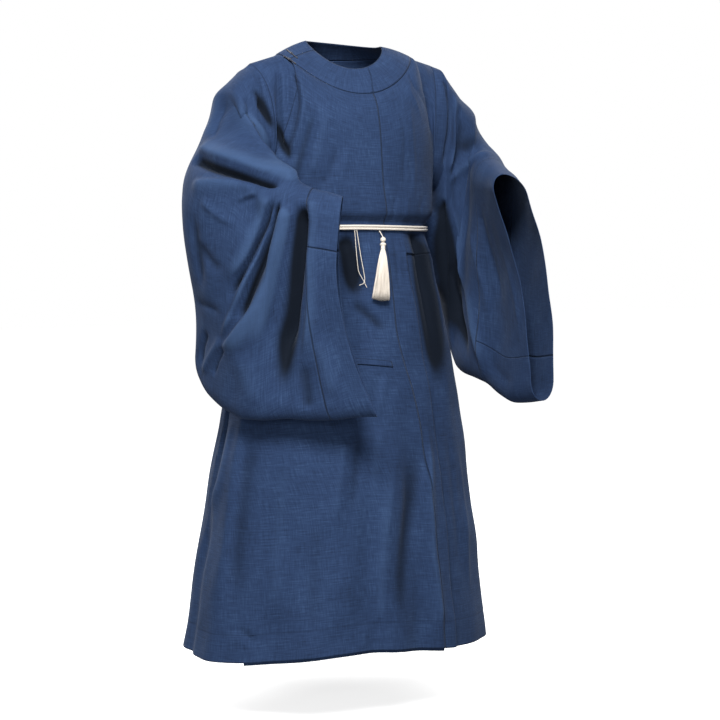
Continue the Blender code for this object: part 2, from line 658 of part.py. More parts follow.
def side_panel_right():
    columns = between(RIGHT_BACK_SIDE, RIGHT_FRONT_SIDE, 2 * SIDE_COLUMNS)
    panel = patch(columns, BELOW_SLIT, offset=under_overlap)
    for edge in ("first_row", "first_column", "last_column"):
        pull_in(panel[0], edge)
    cloth_wall("side_panel_right", [panel])


def side_panel_left():
    """Set in between the back and the left front, whose free edge it passes under."""

    def deeper_at_front(angle, level):
        depth = mix(LAYER, PLEAT_DEPTH, ease((level - BELOW_SLIT[0]) / PLEAT_LEVELS))
        return -depth * ease((left_edge(level) + PLEAT_SPAN - angle) / PLEAT_SPAN)

    tucked = between(lambda level: left_edge(level) - PLEAT_LAP, BACK_SIDE, PANEL_COLUMNS)
    panel = patch(tucked, BELOW_SLIT, offset=deeper_at_front)
    for edge in ("first_row", "last_column"):
        pull_in(panel[0], edge)
    cloth_wall("side_panel_left", [panel])


def collar_stations():
    """Ring angles of the outer layer's columns along the collar, from the closing round to it."""
    top = np.zeros((1, 1))
    round_the_neck = (overlap_columns, LEFT_FACING, LEFT_FRONT, LEFT_BACK, RIGHT_BACK)
    angles = [columns(top)[0] for columns in round_the_neck]
    angles[0] = np.unique(angles[0])
    start = angles[0][0]
    return np.concatenate([*(run[:-1] for run in angles), (-COLLAR_SPAN, start)])


def collar_surface(angle, across):
    crown = COLLAR_CROWN * (1 - (2 * across - 1) ** 2)
    return collar_edge(angle, across) + stack(0, 0, crown)


def collar_normal(angle, across):
    round_neck = collar_surface(angle + 1, across) - collar_surface(angle - 1, across)
    outwards = collar_edge(angle, 1.0) - collar_edge(angle, 0.0)
    return unit(np.cross(outwards, round_neck))


def collar():
    """One band round the neck, whose two ends meet at the closing by the right shoulder.

    Along its seam its wall stands square to the body's, so that the two stay apart.
    """
    station = collar_stations()
    behind = np.abs(station) > 90
    turn = folded(station, behind) / COLLAR_SPAN * 90
    angle = (side_of(station) * np.where(behind, 180 - turn, turn))[:, None]
    across = np.linspace(0, 1, BAND_COLUMNS + 1)[None, :]
    grid = collar_surface(angle, across)
    normal = collar_normal(angle, across)
    top = np.zeros_like(station)
    normal[:, -1] = body_normal(station, top, behind)
    on_shoulder = np.isin(np.abs(station), (COLLAR_SPAN, 180 - COLLAR_SPAN))
    front = body_normal(side_of(station) * COLLAR_SPAN, top, False)
    back = body_normal(side_of(station) * (180 - COLLAR_SPAN), top, True)
    normal[on_shoulder, -1] = unit(front + back)[on_shoulder]
    pull_in(grid, "first_row", SEAM_GAP / 2)
    pull_in(grid, "last_row", SEAM_GAP / 2)
    pull_in(grid, "last_column", TWIST_GAP)
    cloth_wall("collar", [(grid, normal)])


# ---------------------------------------------------------------- sleeves
def section(table, folds, run, share, arm, faces_forward):
    """Point of a sleeve: run is the section number, share the way down it; arm is -1 for the right.

    A section is a flat loop: round at the top over the arm, thin at the bottom where the cloth
    hangs, with its thickness square to the heading.
    """
    column = {
        name: through(np.arange(len(table)), table[:, i], run) for i, name in enumerate(SLEEVE_COLUMNS)
    }
    top = stack(column["top_x"], column["top_y"], column["top_z"])
    bottom = stack(column["bottom_x"], column["bottom_y"], column["bottom_z"])
    height = np.linalg.norm(bottom - top, axis=-1)
    heading = np.radians(column["heading"])
    over_arm = np.where(faces_forward, column["front"], column["back"])
    round_top = np.clip(share * height / (TOP_ROUNDING * over_arm), 0, 1)
    round_bottom = np.clip((1 - share) * height / (HEM_ROUNDING * column["hem"]), 0, 1)
    half = mix(over_arm, column["hem"], ease(share))
    half = half * np.sqrt(1 - (1 - round_top) ** 2) * np.sqrt(1 - (1 - round_bottom) ** 2)
    half = half + sleeve_folds(folds, run, share, faces_forward)
    middle = np.sin(np.pi * share)
    side = np.where(faces_forward, -arm, arm)
    across = half * side + column["sway"] * middle
    along = column["bow"] * middle
    sideways = stack(-np.sin(heading), np.cos(heading), 0) * across[..., None]
    forward = stack(np.cos(heading), np.sin(heading), 0) * along[..., None]
    return mix(top, bottom, share[..., None]) + sideways + forward


def sleeve_folds(folds, run, share, faces_forward):
    """Sum of the folds: each is highest on a line from one place of the sleeve to another."""
    scale = np.array((SECTION_STEP, SECTION_DEPTH))
    place = np.stack(np.broadcast_arrays(run, share), axis=-1) * scale
    total = np.zeros_like(run + share)
    for side, run_a, share_a, run_b, share_b, width, depth in folds:
        start, end = np.array((run_a, share_a)) * scale, np.array((run_b, share_b)) * scale
        line = end - start
        at = np.clip(((place - start) * line).sum(-1) / (line**2).sum(), 0, 1)
        distance = np.linalg.norm(place - start - at[..., None] * line, axis=-1)
        fade = np.sqrt(np.clip(4 * at * (1 - at), FOLD_END, 1) * np.sin(np.pi * share))
        shape = fade * np.exp(-((distance / width) ** 2))
        total += np.where(faces_forward == (side > 0), depth * shape, 0)
    return total


def sleeve_surface(table, folds, arm, run, step):
    """Grid of sleeve points and their normals.

    arm: -1 right, 1 left. run: section numbers, from -1 at the armhole. step: steps round from the
    top, down the side that faces forward at the shoulder and up the other.
    """
    def armhole(step):
        step = step % (2 * SLEEVE_SIDE)
        down = 1 - np.abs(1 - step / SLEEVE_SIDE)
        return body(np.full_like(down, arm * 90.0), down, step > SLEEVE_SIDE)

    def points(run, step):
        whole = np.floor(step)
        edge = mix(armhole(whole), armhole(whole + 1), (step - whole)[..., None])
        step = step % (2 * SLEEVE_SIDE)
        down = 1 - np.abs(1 - step / SLEEVE_SIDE)
        faces_forward = step <= SLEEVE_SIDE
        share = (1 - np.cos(np.pi * down)) / 2
        tube = section(table, folds, np.maximum(run, 0), share, arm, faces_forward)
        return mix(edge, tube, np.clip(run + 1, 0, 1)[..., None])

    run, step = np.broadcast_arrays(run[:, None].astype(float), step[None, :].astype(float))
    grid = points(run, step)
    ahead, behind = np.minimum(run + RUN_STEP, len(table) - 1), np.maximum(run - RUN_STEP, -1)
    along = points(ahead, step) - points(behind, step)
    around = points(run, step + ROUND_STEP) - points(run, step - ROUND_STEP)
    normal = unit(np.cross(along, around)) * arm
    clear, lapped = armhole_seam(arm, run, step, normal)
    return grid + unit(along) * clear + lapped, normal


def armhole_seam(arm, run, step, normal):
    """How far the sleeve's first ring lies along the sleeve from the armhole, and out from it.

    It starts clear of the armhole's edge by the seam's gap and what the slant between the two walls
    takes up, and laps over the body towards the armpit.
    """
    step = step % (2 * SLEEVE_SIDE)
    down = 1 - np.abs(1 - step / SLEEVE_SIDE)
    angle = np.full_like(down, arm * 90.0)
    front, back = body_normal(angle, down, False), body_normal(angle, down, True)
    edge = np.where((step < SLEEVE_SIDE)[..., None], front, back)
    shared = (step == 0) | (step == SLEEVE_SIDE)
    edge = np.where(shared[..., None], unit(front + back), edge)
    slant = np.linalg.norm(np.cross(edge, normal), axis=-1, keepdims=True)
    first = (run == -1)[..., None]
    start, full = LAP_SHARES
    lap = ease((down - start) / (full - start))[..., None] * (CLOTH + LAP_GAP)
    return np.where(first, SEAM_GAP + slant * CLOTH / 2, 0), np.where(first, lap, 0) * edge


def sleeve(name, table, folds, arm, join, piecing, tube_cut=None):
    """The tube as far as its end's seam, and the end's two pieces; a cut parts the tube's solid."""
    last = len(table) - 1
    rings = np.arange(0, join - SHORTEST_RUN, 1 / SLEEVE_STEPS)
    sleeve_runs = np.concatenate([(-1, -1 / 2), rings, (join,)])
    end_runs = np.linspace(join, last, max(3, round((last - join) * SLEEVE_STEPS) + 1))
    round_about = 2 * SLEEVE_SIDE
    steps = np.union1d(np.arange(round_about + 1), (piecing, round_about - piecing))
    if tube_cut is None:
        cloth_wall(name, [sleeve_surface(table, folds, arm, sleeve_runs, steps)])
    else:
        above, below = cut_along(tube_cut, steps, table, folds, arm, sleeve_runs, TWIST_GAP)
        cloth_wall(name, [above])
        cloth_wall(name + "_lower", [below])
    above, below = cut_along(piecing, steps, table, folds, arm, end_runs)
    for part_name, piece in (("_end_top", above), ("_end_bottom", below)):
        pull_in(piece[0], "first_row")
        cloth_wall(name + part_name, [piece])


def cut_along(cut, steps, table, folds, arm, runs, gap=SEAM_GAP):
    """The parts of a sleeve above and below a cut along both of its sides."""
    half = steps[steps <= cut]
    high = np.concatenate([-half[:0:-1], half])
    low = steps[(steps >= cut) & (steps <= 2 * SLEEVE_SIDE - cut)]
    above, below = (sleeve_surface(table, folds, arm, runs, part) for part in (high, low))
    pull_in(below[0], "first_column", gap)
    pull_in(below[0], "last_column", gap)
    return above, below


# ---------------------------------------------------------------- trims
def cord(name, path, radius, finish, radii=None, cyclic=False):
    """Round cord along a list of points, as a bevelled curve with closed ends."""
    curve = bpy.data.curves.new(name, "CURVE")
    curve.dimensions = "3D"
    curve.bevel_depth = radius
    curve.bevel_resolution = 2
    curve.use_fill_caps = True
    spline = curve.splines.new("POLY")
    spline.points.add(len(path) - 1)
    for i, (point, place) in enumerate(zip(spline.points, path)):
        point.co = (*place, 1)
        point.radius = 1 if radii is None else radii[i] / radius
    spline.use_cyclic_u = cyclic
    add_object(name, curve, finish)


def smooth_path(places, points):
    """Points along a smooth curve through a few places."""
    places = np.array(places)
    keys = np.arange(len(places))
    at = np.linspace(0, len(places) - 1, points)
    return np.stack([through(keys, places[:, axis], at) for axis in range(3)], axis=1)


def swelling(centre, direction, ball_radius, cord_radius):
    """Places and radii where a cord that runs one way swells into a ball."""
    turn = np.linspace(0, np.pi, BALL_STEPS)[:, None]
    places = centre - direction * ball_radius * np.cos(turn)
    return places, np.maximum(ball_radius * np.sin(turn[:, 0]), cord_radius)


def outside(angle, level, distance):
    """Points of the outer layer, moved out."""
    angle, level = np.broadcast_arrays(np.asarray(angle, float), np.asarray(level, float))
    behind = np.abs(angle) > 90
    return body(angle, level, behind) + body_normal(angle, level, behind) * distance


def outside_at_drop(angle, drop, distance):
    return outside(angle, level_of(drop), distance)


def pocket_welt():
    """Strip on the overlapping front, laid on the flat stretches between that front's columns."""
    column = np.array(WELT_COLUMNS)
    share = (column - column[0]) / (column[-1] - column[0])
    level = level_of(np.array(WELT_DROPS)[:, None] + WELT_SLOPE * share)
    whole = np.floor(column)
    lift = (CLOTH + WELT_CLOTH) / 2 + WELT_CLEAR
    ends = []
    for step in (0, 1):
        angle = mix(-COLLAR_SPAN, seam(level), (whole + step) / OVERLAP_COLUMNS)
        normal = body_normal(angle, level, False)
        ends.append((body(angle, level, False) + normal * lift, normal))
    part_way = (column - whole)[:, None]
    grid, normal = (mix(start, end, part_way) for start, end in zip(*ends))
    cloth_wall("pocket_welt", [(grid, unit(normal))], WELT_CLOTH)


def belt():
    """Two cords, one above the other, all round the waist."""
    lift = CLOTH / 2 + CORD_RADIUS + CORD_CLEAR
    angle = np.linspace(-180, 180, BELT_POINTS, endpoint=False)
    for name, side in (("belt_cord_upper", -1), ("belt_cord_lower", 1)):
        drop = np.full_like(angle, BELT_DROP + side * (CORD_RADIUS + CORD_APART / 2))
        cord(name, outside_at_drop(angle, drop, lift), CORD_RADIUS, CREAM_SILK, cyclic=True)


def belt_thread():
    """Thread looped over the belt: two strands down to a knot, and two free ends below it.

    The knot is a swelling of the first end.
    """
    knot = outside_at_drop(*KNOT_PLACE, THREAD_HANG + TIE_GAP)
    apart = KNOT_RADIUS + TIE_GAP
    for number, stops in enumerate(STRAND_STOPS, 1):
        places = [outside_at_drop(angle, drop, THREAD_HANG) for angle, drop in stops]
        places[0] = outside_at_drop(*stops[0], CLOTH / 2 + CORD_CLEAR + CORD_RADIUS)
        places.append(knot + unit(places[-1] - knot) * apart)
        cord(f"thread_strand_{number}", smooth_path(places, STRAND_POINTS), THREAD_RADIUS, CREAM_SILK)
    first, second = (outside_at_drop(*stop, THREAD_HANG) for stop in END_STOPS)
    path, radii = swelling(knot, unit(first - knot), KNOT_RADIUS, THREAD_RADIUS)
    low = smooth_path([path[-1], mix(path[-1], first, 0.5) - (0, 0, END_SAG), first], END_POINTS)
    radii = np.append(radii, np.full(END_POINTS - 1, THREAD_RADIUS))
    cord("thread_knot_end", np.concatenate([path, low[1:]]), THREAD_RADIUS, CREAM_SILK, radii)
    start = knot + unit(second - knot) * apart
    path = smooth_path([start, mix(start, second, 0.5) - (0, 0, END_SAG), second], END_POINTS)
    cord("thread_end", path, THREAD_RADIUS, CREAM_SILK)


def tassel():
    """Cord with its bead, and tassel, hung in one line that follows the skirt."""
    head_angle, foot_angle = TASSEL_ANGLES
    head_height = sum(rise for rise, _ in HEAD_STEPS)
    foot_drop = TASSEL_TOP + head_height + NECK_LENGTH + TASSEL_DROP
    head = outside_at_drop(head_angle, TASSEL_TOP, TASSEL_CLEAR)
    foot = outside_at_drop(foot_angle, foot_drop, TASSEL_CLEAR)
    down = unit(foot - head)
    bead = head - down * (BEAD_RADIUS + BEAD_GAP)
    belt_side = outside_at_drop(head_angle, BELT_DROP + TASSEL_HANG, CORD_CLEAR + CORD_RADIUS)
    path, radii = swelling(bead, down, BEAD_RADIUS, TASSEL_CORD_RADIUS)
    radii = np.append(TASSEL_CORD_RADIUS, radii)
    cord("tassel_cord_and_bead", [belt_side, *path], TASSEL_CORD_RADIUS, CREAM_SILK, radii)
    hung = add_object("tassel", tassel_mesh(), CREAM_SILK)
    hung.location = head + down * (head_height + NECK_LENGTH / 2)
    hung.rotation_euler = (-math.atan2(-down[1], -down[2]), math.atan2(-down[0], -down[2]), 0)


def height_of(face):
    return face.calc_center_median().z


def tassel_mesh():
    """Round head whose underside is cut into cells, from each of which one strand is drawn down."""
    work = bmesh.new()
    bmesh.ops.create_cone(
        work, cap_ends=True, segments=16, radius1=NECK_RADIUS, radius2=HEAD_RADIUS, depth=NECK_LENGTH
    )
    upper_cap = max(work.faces, key=height_of)
    for rise, widening in HEAD_STEPS:
        drawn = bmesh.ops.extrude_face_region(work, geom=[upper_cap])["geom"]
        bmesh.ops.delete(work, geom=[upper_cap], context="FACES_ONLY")
        upper_cap = next(item for item in drawn if isinstance(item, bmesh.types.BMFace))
        for corner in upper_cap.verts:
            corner.co.x *= widening
            corner.co.y *= widening
            corner.co.z += rise
    under = min(work.faces, key=height_of)
    cells = []
    for _ in range(STRAND_RINGS):
        inset = NECK_RADIUS / (STRAND_RINGS + RIM_CELLS)
        cells += bmesh.ops.inset_region(work, faces=[under], thickness=inset)["faces"]
    cells.append(under)
    bmesh.ops.inset_individual(work, faces=cells, thickness=STRAND_APART)
    start = height_of(under)
    reach = NECK_RADIUS
    round_it, outwards = UNEVEN_TURNS
    for share in STRAND_SHARES:
        cells = bmesh.ops.extrude_discrete_faces(work, faces=cells)["faces"]
        wider = TASSEL_REACH * share**STRAND_SPREAD / reach
        reach *= wider
        for face in cells:
            centre = face.calc_center_median()
            ring = math.hypot(centre.x, centre.y) / reach
            uneven = math.sin(round_it * math.atan2(centre.y, centre.x) + outwards * ring)
            length = TASSEL_DROP * share * (1 + STRAND_UNEVEN * uneven * share)
            for corner in face.verts:
                corner.co.x += centre.x * (wider - 1)
                corner.co.y += centre.y * (wider - 1) * STRAND_FLATNESS
                corner.co.z = start - length
    work.normal_update()
    mesh = bpy.data.meshes.new("tassel")
    work.to_mesh(mesh)
    work.free()
    return mesh


def frogs():
    """Two short knotted fastenings across the closing, one on the collar's ends and one below."""
    share = np.linspace(0, 1, 13)[:, None]
    from_middle = np.abs(share[:, 0] - 0.5)
    knot, knot_width = FROG_KNOT
    end, end_width = FROG_ENDS
    radii = 1 + knot * np.exp(-((from_middle / knot_width) ** 2))
    radii += end * np.exp(-(((from_middle - 0.5) / end_width) ** 2))
    angle, across = mix(*np.array(FROG_ON_COLLAR), share).T
    upper = collar_surface(angle, across) + collar_normal(angle, across) * FROG_LIFT
    angle, level = mix(*np.array(FROG_ON_BODY), share).T
    lower = outside(angle, level, FROG_LIFT)
    for name, path in (("frog_upper", upper), ("frog_lower", lower)):
        cord(name, path, FROG_RADIUS, DARK_BRAID, radii * FROG_RADIUS)


# ---------------------------------------------------------------- the robe
for item in list(bpy.data.objects):
    bpy.data.objects.remove(item, do_unlink=True)
ROBE = bpy.data.collections.new("hanfu_robe")
bpy.context.scene.collection.children.link(ROBE)

body_right()
body_left()
front_overlap()
front_underlap()
side_panel_right()
side_panel_left()
collar()
pocket_welt()
sleeve("sleeve_right", RIGHT_SECTIONS, RIGHT_FOLDS, -1, RIGHT_JOIN, RIGHT_PIECING, RIGHT_CUT)
sleeve("sleeve_left", LEFT_SECTIONS, LEFT_FOLDS, 1, LEFT_JOIN, LEFT_PIECING)
belt()
belt_thread()
tassel()
frogs()
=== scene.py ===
# %% [markdown]
# # A round-collar hanfu robe, dressed
# This file dresses a packed model of a long blue robe. The packed solids give every size: here each
# cloth panel becomes a thin shell on the same form, with its own creases, weave, seams and hem.

# %% The packed model
import json
import math
from functools import partial

import bmesh
import bpy
import numpy as np
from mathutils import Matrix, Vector

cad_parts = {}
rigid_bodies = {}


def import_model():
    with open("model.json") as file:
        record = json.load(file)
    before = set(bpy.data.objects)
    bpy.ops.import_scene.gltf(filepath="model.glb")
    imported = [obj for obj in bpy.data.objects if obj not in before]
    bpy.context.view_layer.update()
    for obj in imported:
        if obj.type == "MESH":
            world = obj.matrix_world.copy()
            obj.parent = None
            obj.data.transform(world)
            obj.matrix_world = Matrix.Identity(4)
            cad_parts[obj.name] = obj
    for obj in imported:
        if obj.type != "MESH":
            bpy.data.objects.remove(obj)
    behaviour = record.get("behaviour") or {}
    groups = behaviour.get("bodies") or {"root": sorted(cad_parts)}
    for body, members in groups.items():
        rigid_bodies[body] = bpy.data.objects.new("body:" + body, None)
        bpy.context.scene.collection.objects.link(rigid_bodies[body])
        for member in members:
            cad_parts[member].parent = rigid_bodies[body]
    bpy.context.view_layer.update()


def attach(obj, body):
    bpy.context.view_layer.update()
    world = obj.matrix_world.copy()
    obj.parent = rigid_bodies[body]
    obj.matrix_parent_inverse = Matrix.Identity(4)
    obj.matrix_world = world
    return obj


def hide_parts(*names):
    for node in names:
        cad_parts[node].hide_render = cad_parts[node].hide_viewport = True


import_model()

# %% [markdown]
# ## The camera
# The robe is looked at from the front, about thirty degrees round to its right side and level with
# the belt. A long lens keeps the flare of the skirt close to its real proportions.

# %% Camera
CAMERA_PLACE, CAMERA_AIM = (-1.966, -3.4835, -0.41), (0.034, -0.0195, -0.72)
LENS, SENSOR = 86.95, 36.0  # mm


def placed(name, data):
    """An object with that data, in the scene at the origin."""
    obj = bpy.data.objects.new(name, data)
    bpy.context.scene.collection.objects.link(obj)
    return obj


def aim(obj, place, target):
    """Puts an object at a place and turns it so that its -Z axis points at a target."""
    obj.location = place
    obj.rotation_euler = (Vector(target) - obj.location).to_track_quat("-Z", "Y").to_euler()


camera = placed("camera", bpy.data.cameras.new("camera"))
aim(camera, CAMERA_PLACE, CAMERA_AIM)
camera.data.sensor_width, camera.data.lens = SENSOR, LENS
bpy.context.scene.camera = camera
print("camera at", tuple(round(x, 2) for x in camera.location), "lens", LENS, "mm")

# %% [markdown]
# ## Curves through tables
# A garment is mostly smooth curves through a few measured places. A cubic piece between each two
# places, whose slope never overshoots, keeps a hem or a fold from swinging past its own sizes.

# %% Curve helpers
def through(keys, values, at):
    """Cubic pieces through (key, value) pairs; the slope at each is the harmonic mean of its sides."""
    keys, values = np.asarray(keys, float), np.asarray(values, float)
    steps = np.diff(keys)
    rises = np.diff(values) / steps
    slopes = np.zeros_like(values)
    slopes[0], slopes[-1] = rises[0], rises[-1]
    same_way = rises[:-1] * rises[1:] > 0
    mean = 2 * rises[:-1] * rises[1:] / np.where(same_way, rises[:-1] + rises[1:], 1)
    slopes[1:-1] = np.where(same_way, mean, 0)
    at = np.clip(at, keys[0], keys[-1])
    cell = np.clip(np.searchsorted(keys, at, side="right") - 1, 0, len(steps) - 1)
    t = (at - keys[cell]) / steps[cell]
    return (
        values[cell] * (2 * t**3 - 3 * t**2 + 1)
        + slopes[cell] * steps[cell] * (t**3 - 2 * t**2 + t)
        + values[cell + 1] * (3 * t**2 - 2 * t**3)
        + slopes[cell + 1] * steps[cell] * (t**3 - t**2)
    )


def ease(x):
    """0 below 0, 1 above 1, and 3x^2 - 2x^3 between."""
    x = np.clip(x, 0.0, 1.0)
    return x * x * (3 - 2 * x)


def mix(a, b, share):
    """a + (b - a) * share."""
    return a + (b - a) * share


def stack(*parts):
    """Points from their x, y and z arrays."""
    return np.stack(np.broadcast_arrays(*parts), axis=-1)


def unit(vectors):
    """Each vector over its own length."""
    return vectors / np.maximum(np.linalg.norm(vectors, axis=-1, keepdims=True), 1e-12)


def smooth_path(places, count):
    """A curve through a few places, read at evenly spaced shares of its length."""
    places = np.asarray(places, float)
    keys = np.concatenate([[0], np.cumsum(np.linalg.norm(np.diff(places, axis=0), axis=1))])
    at = np.linspace(0, keys[-1], count)
    return np.stack([through(keys, places[:, axis], at) for axis in range(3)], axis=1)


def lengths_along(points, axis):
    """Length from the first point of a grid to each other, along one of its two axes."""
    steps = np.linalg.norm(np.diff(points, axis=axis), axis=-1)
    start = np.zeros_like(np.take(steps, [0], axis=axis))
    return np.concatenate([start, np.cumsum(steps, axis=axis)], axis=axis)


print("a curve through 0, 1, 0 read half way:", round(float(through([0, 1, 2], [0, 1, 0], 0.5)), 3))

# %% [markdown]
# ## The loose thread
# A doubled thread is looped over the belt, knotted once and left with two free ends. Each half is one
# limp cord: down from the belt, through the knot and out to its end. A curve with a round bevel is
# the simplest way to carry a round section along such a line.

# %% The loose thread's two cords
THREAD_DIAMETER, THREAD_POINTS = 0.0014, 28
THREAD_ROUTES = {
    "thread_outer": (
        (-0.0547, -0.1498, -0.4207), (-0.0565, -0.1595, -0.4638), (-0.0577, -0.1710, -0.5084),
        (-0.0507, -0.1768, -0.5268), (-0.0471, -0.1798, -0.5354), (-0.0534, -0.1792, -0.5391),
        (-0.0597, -0.1785, -0.5413),
    ),
    "thread_inner": (
        (-0.0499, -0.1508, -0.4207), (-0.0481, -0.1639, -0.4736), (-0.0458, -0.1741, -0.5123),
        (-0.0452, -0.1777, -0.5268), (-0.0471, -0.1798, -0.5354), (-0.0448, -0.1812, -0.5416),
        (-0.0425, -0.1826, -0.5462),
    ),
}


def round_cord(name, path, diameter):
    """A curve object: a circle of that diameter carried along the path's points."""
    curve = bpy.data.curves.new(name, "CURVE")
    curve.dimensions = "3D"
    curve.bevel_depth, curve.bevel_resolution, curve.use_fill_caps = diameter / 2, 2, True
    spline = curve.splines.new("POLY")
    spline.points.add(len(path) - 1)
    spline.points.foreach_set("co", np.column_stack([path, np.ones(len(path))]).ravel())
    return placed(name, curve)


threads = {}
for name, route in THREAD_ROUTES.items():
    path = smooth_path(route, THREAD_POINTS)
    threads[name] = round_cord(name, path, THREAD_DIAMETER)
    length = float(lengths_along(path, 0)[-1])
    threads[name]["length"] = round(length, 4)
    print(name, "is", round(length * 1000), "mm long")

# %% [markdown]
# ## The body's form
# The robe hangs from the shoulders. Below the armpit it is a stack of rings that widen to the hem;
# above, each line of cloth runs over the shoulder on a Bezier curve. These are the sizes the solids
# were built from, so every panel made here lies where its solid lies.

# %% Sizes of the body
# Drops are metres below the collar, spans and turns are degrees round the body
ROBE_DROP, ARMPIT_DROP, BELT_DROP, SLIT_DROP = 1.364, 0.315, 0.418, 0.475
HEM_BAND, HEM_TUCK = 0.060, (0.0001, 0.0003)
HEM_RISE, HIGHEST_HEM, HEM_RISE_WIDTH = 0.036, -14.0, 38.0
SOLID_CLOTH, CLOTH = 0.002, 0.0011  # thickness of the packed cloth, and of the cloth made here
LAYER, LAYER_STEP = 0.0040, (-12.0, -5.0)  # depth of a covered layer, and where it steps down
INNER_DEPTH, INNER_LEVELS, INNER_TURN, INNER_EDGE, INNER_SAG = 0.022, (0.9, 1.2), 5.0, 48.0, 0.006
PLEAT_DEPTH, PLEAT_SPAN, PLEAT_LAP, PLEAT_LEVELS = 0.013, 20.0, 1.5, 0.08
COLLAR_CROWN, COLLAR_SPAN = 0.003, 60.0
SHOULDER_TIPS = np.array([(-0.234, 0.004, -0.054), (0.236, 0.004, -0.037)])

COLLAR_COLUMNS = (
    "half_width", "front", "back", "level", "left_rise", "front_drop", "back_rise", "bend", "lowest",
)
NECK_EDGE = (0.089, 0.086, 0.068, 0.0000, -0.0035, 0.063, 0.008, 1.4, -14.0)
BAND_EDGE = (0.162, 0.130, 0.104, -0.0245, 0.0040, 0.096, -0.004, 1.8, -7.0)
# leave_out, leave_fall, leave_in, arrive_out, arrive_rise, arrive_in at the centre, neck and armhole
DRAPE = np.array([
    (0.030, 0.060, 0.000, 0.000, 0.105, 0.000),
    (0.075, 0.016, 0.000, 0.000, 0.105, 0.000),
    (0.092, 0.030, 0.026, 0.088, 0.012, 0.030),
])

# drop, half_width, front, back, shift
BODY_RINGS = np.array([
    (0.315, 0.222, 0.162, 0.128, 0.000),
    (0.385, 0.214, 0.166, 0.128, 0.000),
    (0.406, 0.200, 0.151, 0.120, 0.000),
    (0.430, 0.200, 0.151, 0.120, 0.000),
    (0.475, 0.212, 0.164, 0.134, 0.000),
    (0.600, 0.242, 0.192, 0.168, -0.002),
    (0.780, 0.275, 0.226, 0.212, -0.006),
    (1.000, 0.309, 0.258, 0.246, -0.013),
    (1.200, 0.338, 0.283, 0.272, -0.019),
    (1.364, 0.361, 0.302, 0.291, -0.023),
])

# drop, and the ring angles of the centre-front seam, the left front's edge and the closing
EDGE_PATHS = np.array([
    (0.000, 1.0, 19.0, -50.0),
    (0.100, 1.5, 19.0, -51.0),
    (0.200, 2.0, 19.0, -60.0),
    (0.315, 3.0, 19.5, -80.0),
    (0.430, 6.0, 20.0, -89.0),
    (0.640, 6.0, 21.5, -96.0),
    (0.790, 12.5, 24.0, -100.0),
    (0.900, 16.0, 25.0, -103.0),
    (1.150, 20.0, 27.0, -108.0),
    (1.364, 20.5, 26.5, -112.0),
])

# angle_top, angle_hem, drop_top, drop_full, width, depth
SKIRT_FOLDS = np.array([
    (8.0, 10.0, 0.75, 1.15, 0.040, -0.016),
    (-14.0, -10.0, 0.56, 0.70, 0.035, -0.010),
    (-22.0, -30.0, 0.60, 1.20, 0.060, 0.008),
    (-52.0, -50.0, 0.60, 1.10, 0.050, -0.010),
    (-78.0, -76.0, 0.50, 0.95, 0.040, 0.009),
    (-97.0, -97.0, 0.55, 0.95, 0.030, -0.012),
    (-128.0, -130.0, 0.50, 1.00, 0.045, 0.014),
    (-150.0, -152.0, 0.48, 0.95, 0.035, -0.014),
    (-172.0, -170.0, 0.48, 0.95, 0.040, 0.012),
    (168.0, 166.0, 0.48, 0.95, 0.035, -0.012),
    (148.0, 146.0, 0.50, 1.00, 0.045, 0.014),
    (127.0, 126.0, 0.50, 0.95, 0.035, -0.014),
    (104.0, 102.0, 0.50, 0.95, 0.040, 0.010),
    (56.0, 58.0, 0.50, 1.00, 0.045, 0.008),
    (74.0, 78.0, 0.50, 0.95, 0.035, -0.010),
])
FOLD_START = 0.45
print("the skirt is", round(2 * BODY_RINGS[-1, 1], 2), "m wide and has", len(SKIRT_FOLDS), "folds")

# %% The body as a function of an angle and a level
def ring_value(column, drop):
    """Half axes (1 side, 2 front, 3 back) or sideways shift (4) of the ring at that drop."""
    return through(BODY_RINGS[:, 0], BODY_RINGS[:, column], drop)


def edge_angle(column, drop):
    """Ring angle of the seam (1), the left front's edge (2) or the closing (3) at that drop."""
    return through(EDGE_PATHS[:, 0], EDGE_PATHS[:, column], drop)


def hem_step(angle, drop):
    """The hem's stitching draws the cloth in under its top line, most at the two sides."""
    under = np.where(drop > ROBE_DROP - HEM_BAND, 1.0, 0.0)
    fade = np.clip((ROBE_DROP - drop) / HEM_BAND, 0, 1)
    return -under * fade * (HEM_TUCK[0] + HEM_TUCK[1] * np.sin(np.radians(angle)) ** 2)


def skirt_folds(angle, drop):
    """Sum of depth * exp(-(distance round the ring / width)^2) over the long folds."""
    around = 0.5 * (ring_value(1, drop) + ring_value(2, drop))
    total = np.zeros_like(angle + drop)
    for top, hem, start, full, width, depth in SKIRT_FOLDS:
        along = np.clip((drop - start) / (ROBE_DROP - start), 0, 1)
        turn = (angle - mix(top, hem, along) + 180) % 360 - 180
        reach = width * mix(FOLD_START, 1.0, along)
        grown = ease((drop - start) / (full - start))
        total += depth * grown * np.exp(-((np.radians(turn) * around / reach) ** 2))
    return total


def lower_body(angle, drop):
    """An ellipse at that drop, let out and in by the folds, with a hem that hangs a little uneven."""
    turn = np.radians(angle)
    depth = np.where(np.abs(angle) <= 90, ring_value(2, drop), ring_value(3, drop))
    out = skirt_folds(angle, drop) + hem_step(angle, drop)
    share = (drop - ARMPIT_DROP) / (ROBE_DROP - ARMPIT_DROP)
    rise = HEM_RISE * np.exp(-(((angle - HIGHEST_HEM) / HEM_RISE_WIDTH) ** 2)) * share
    return stack(
        ring_value(4, drop) + (ring_value(1, drop) + out) * np.sin(turn),
        -(depth + out) * np.cos(turn),
        rise - drop,
    )


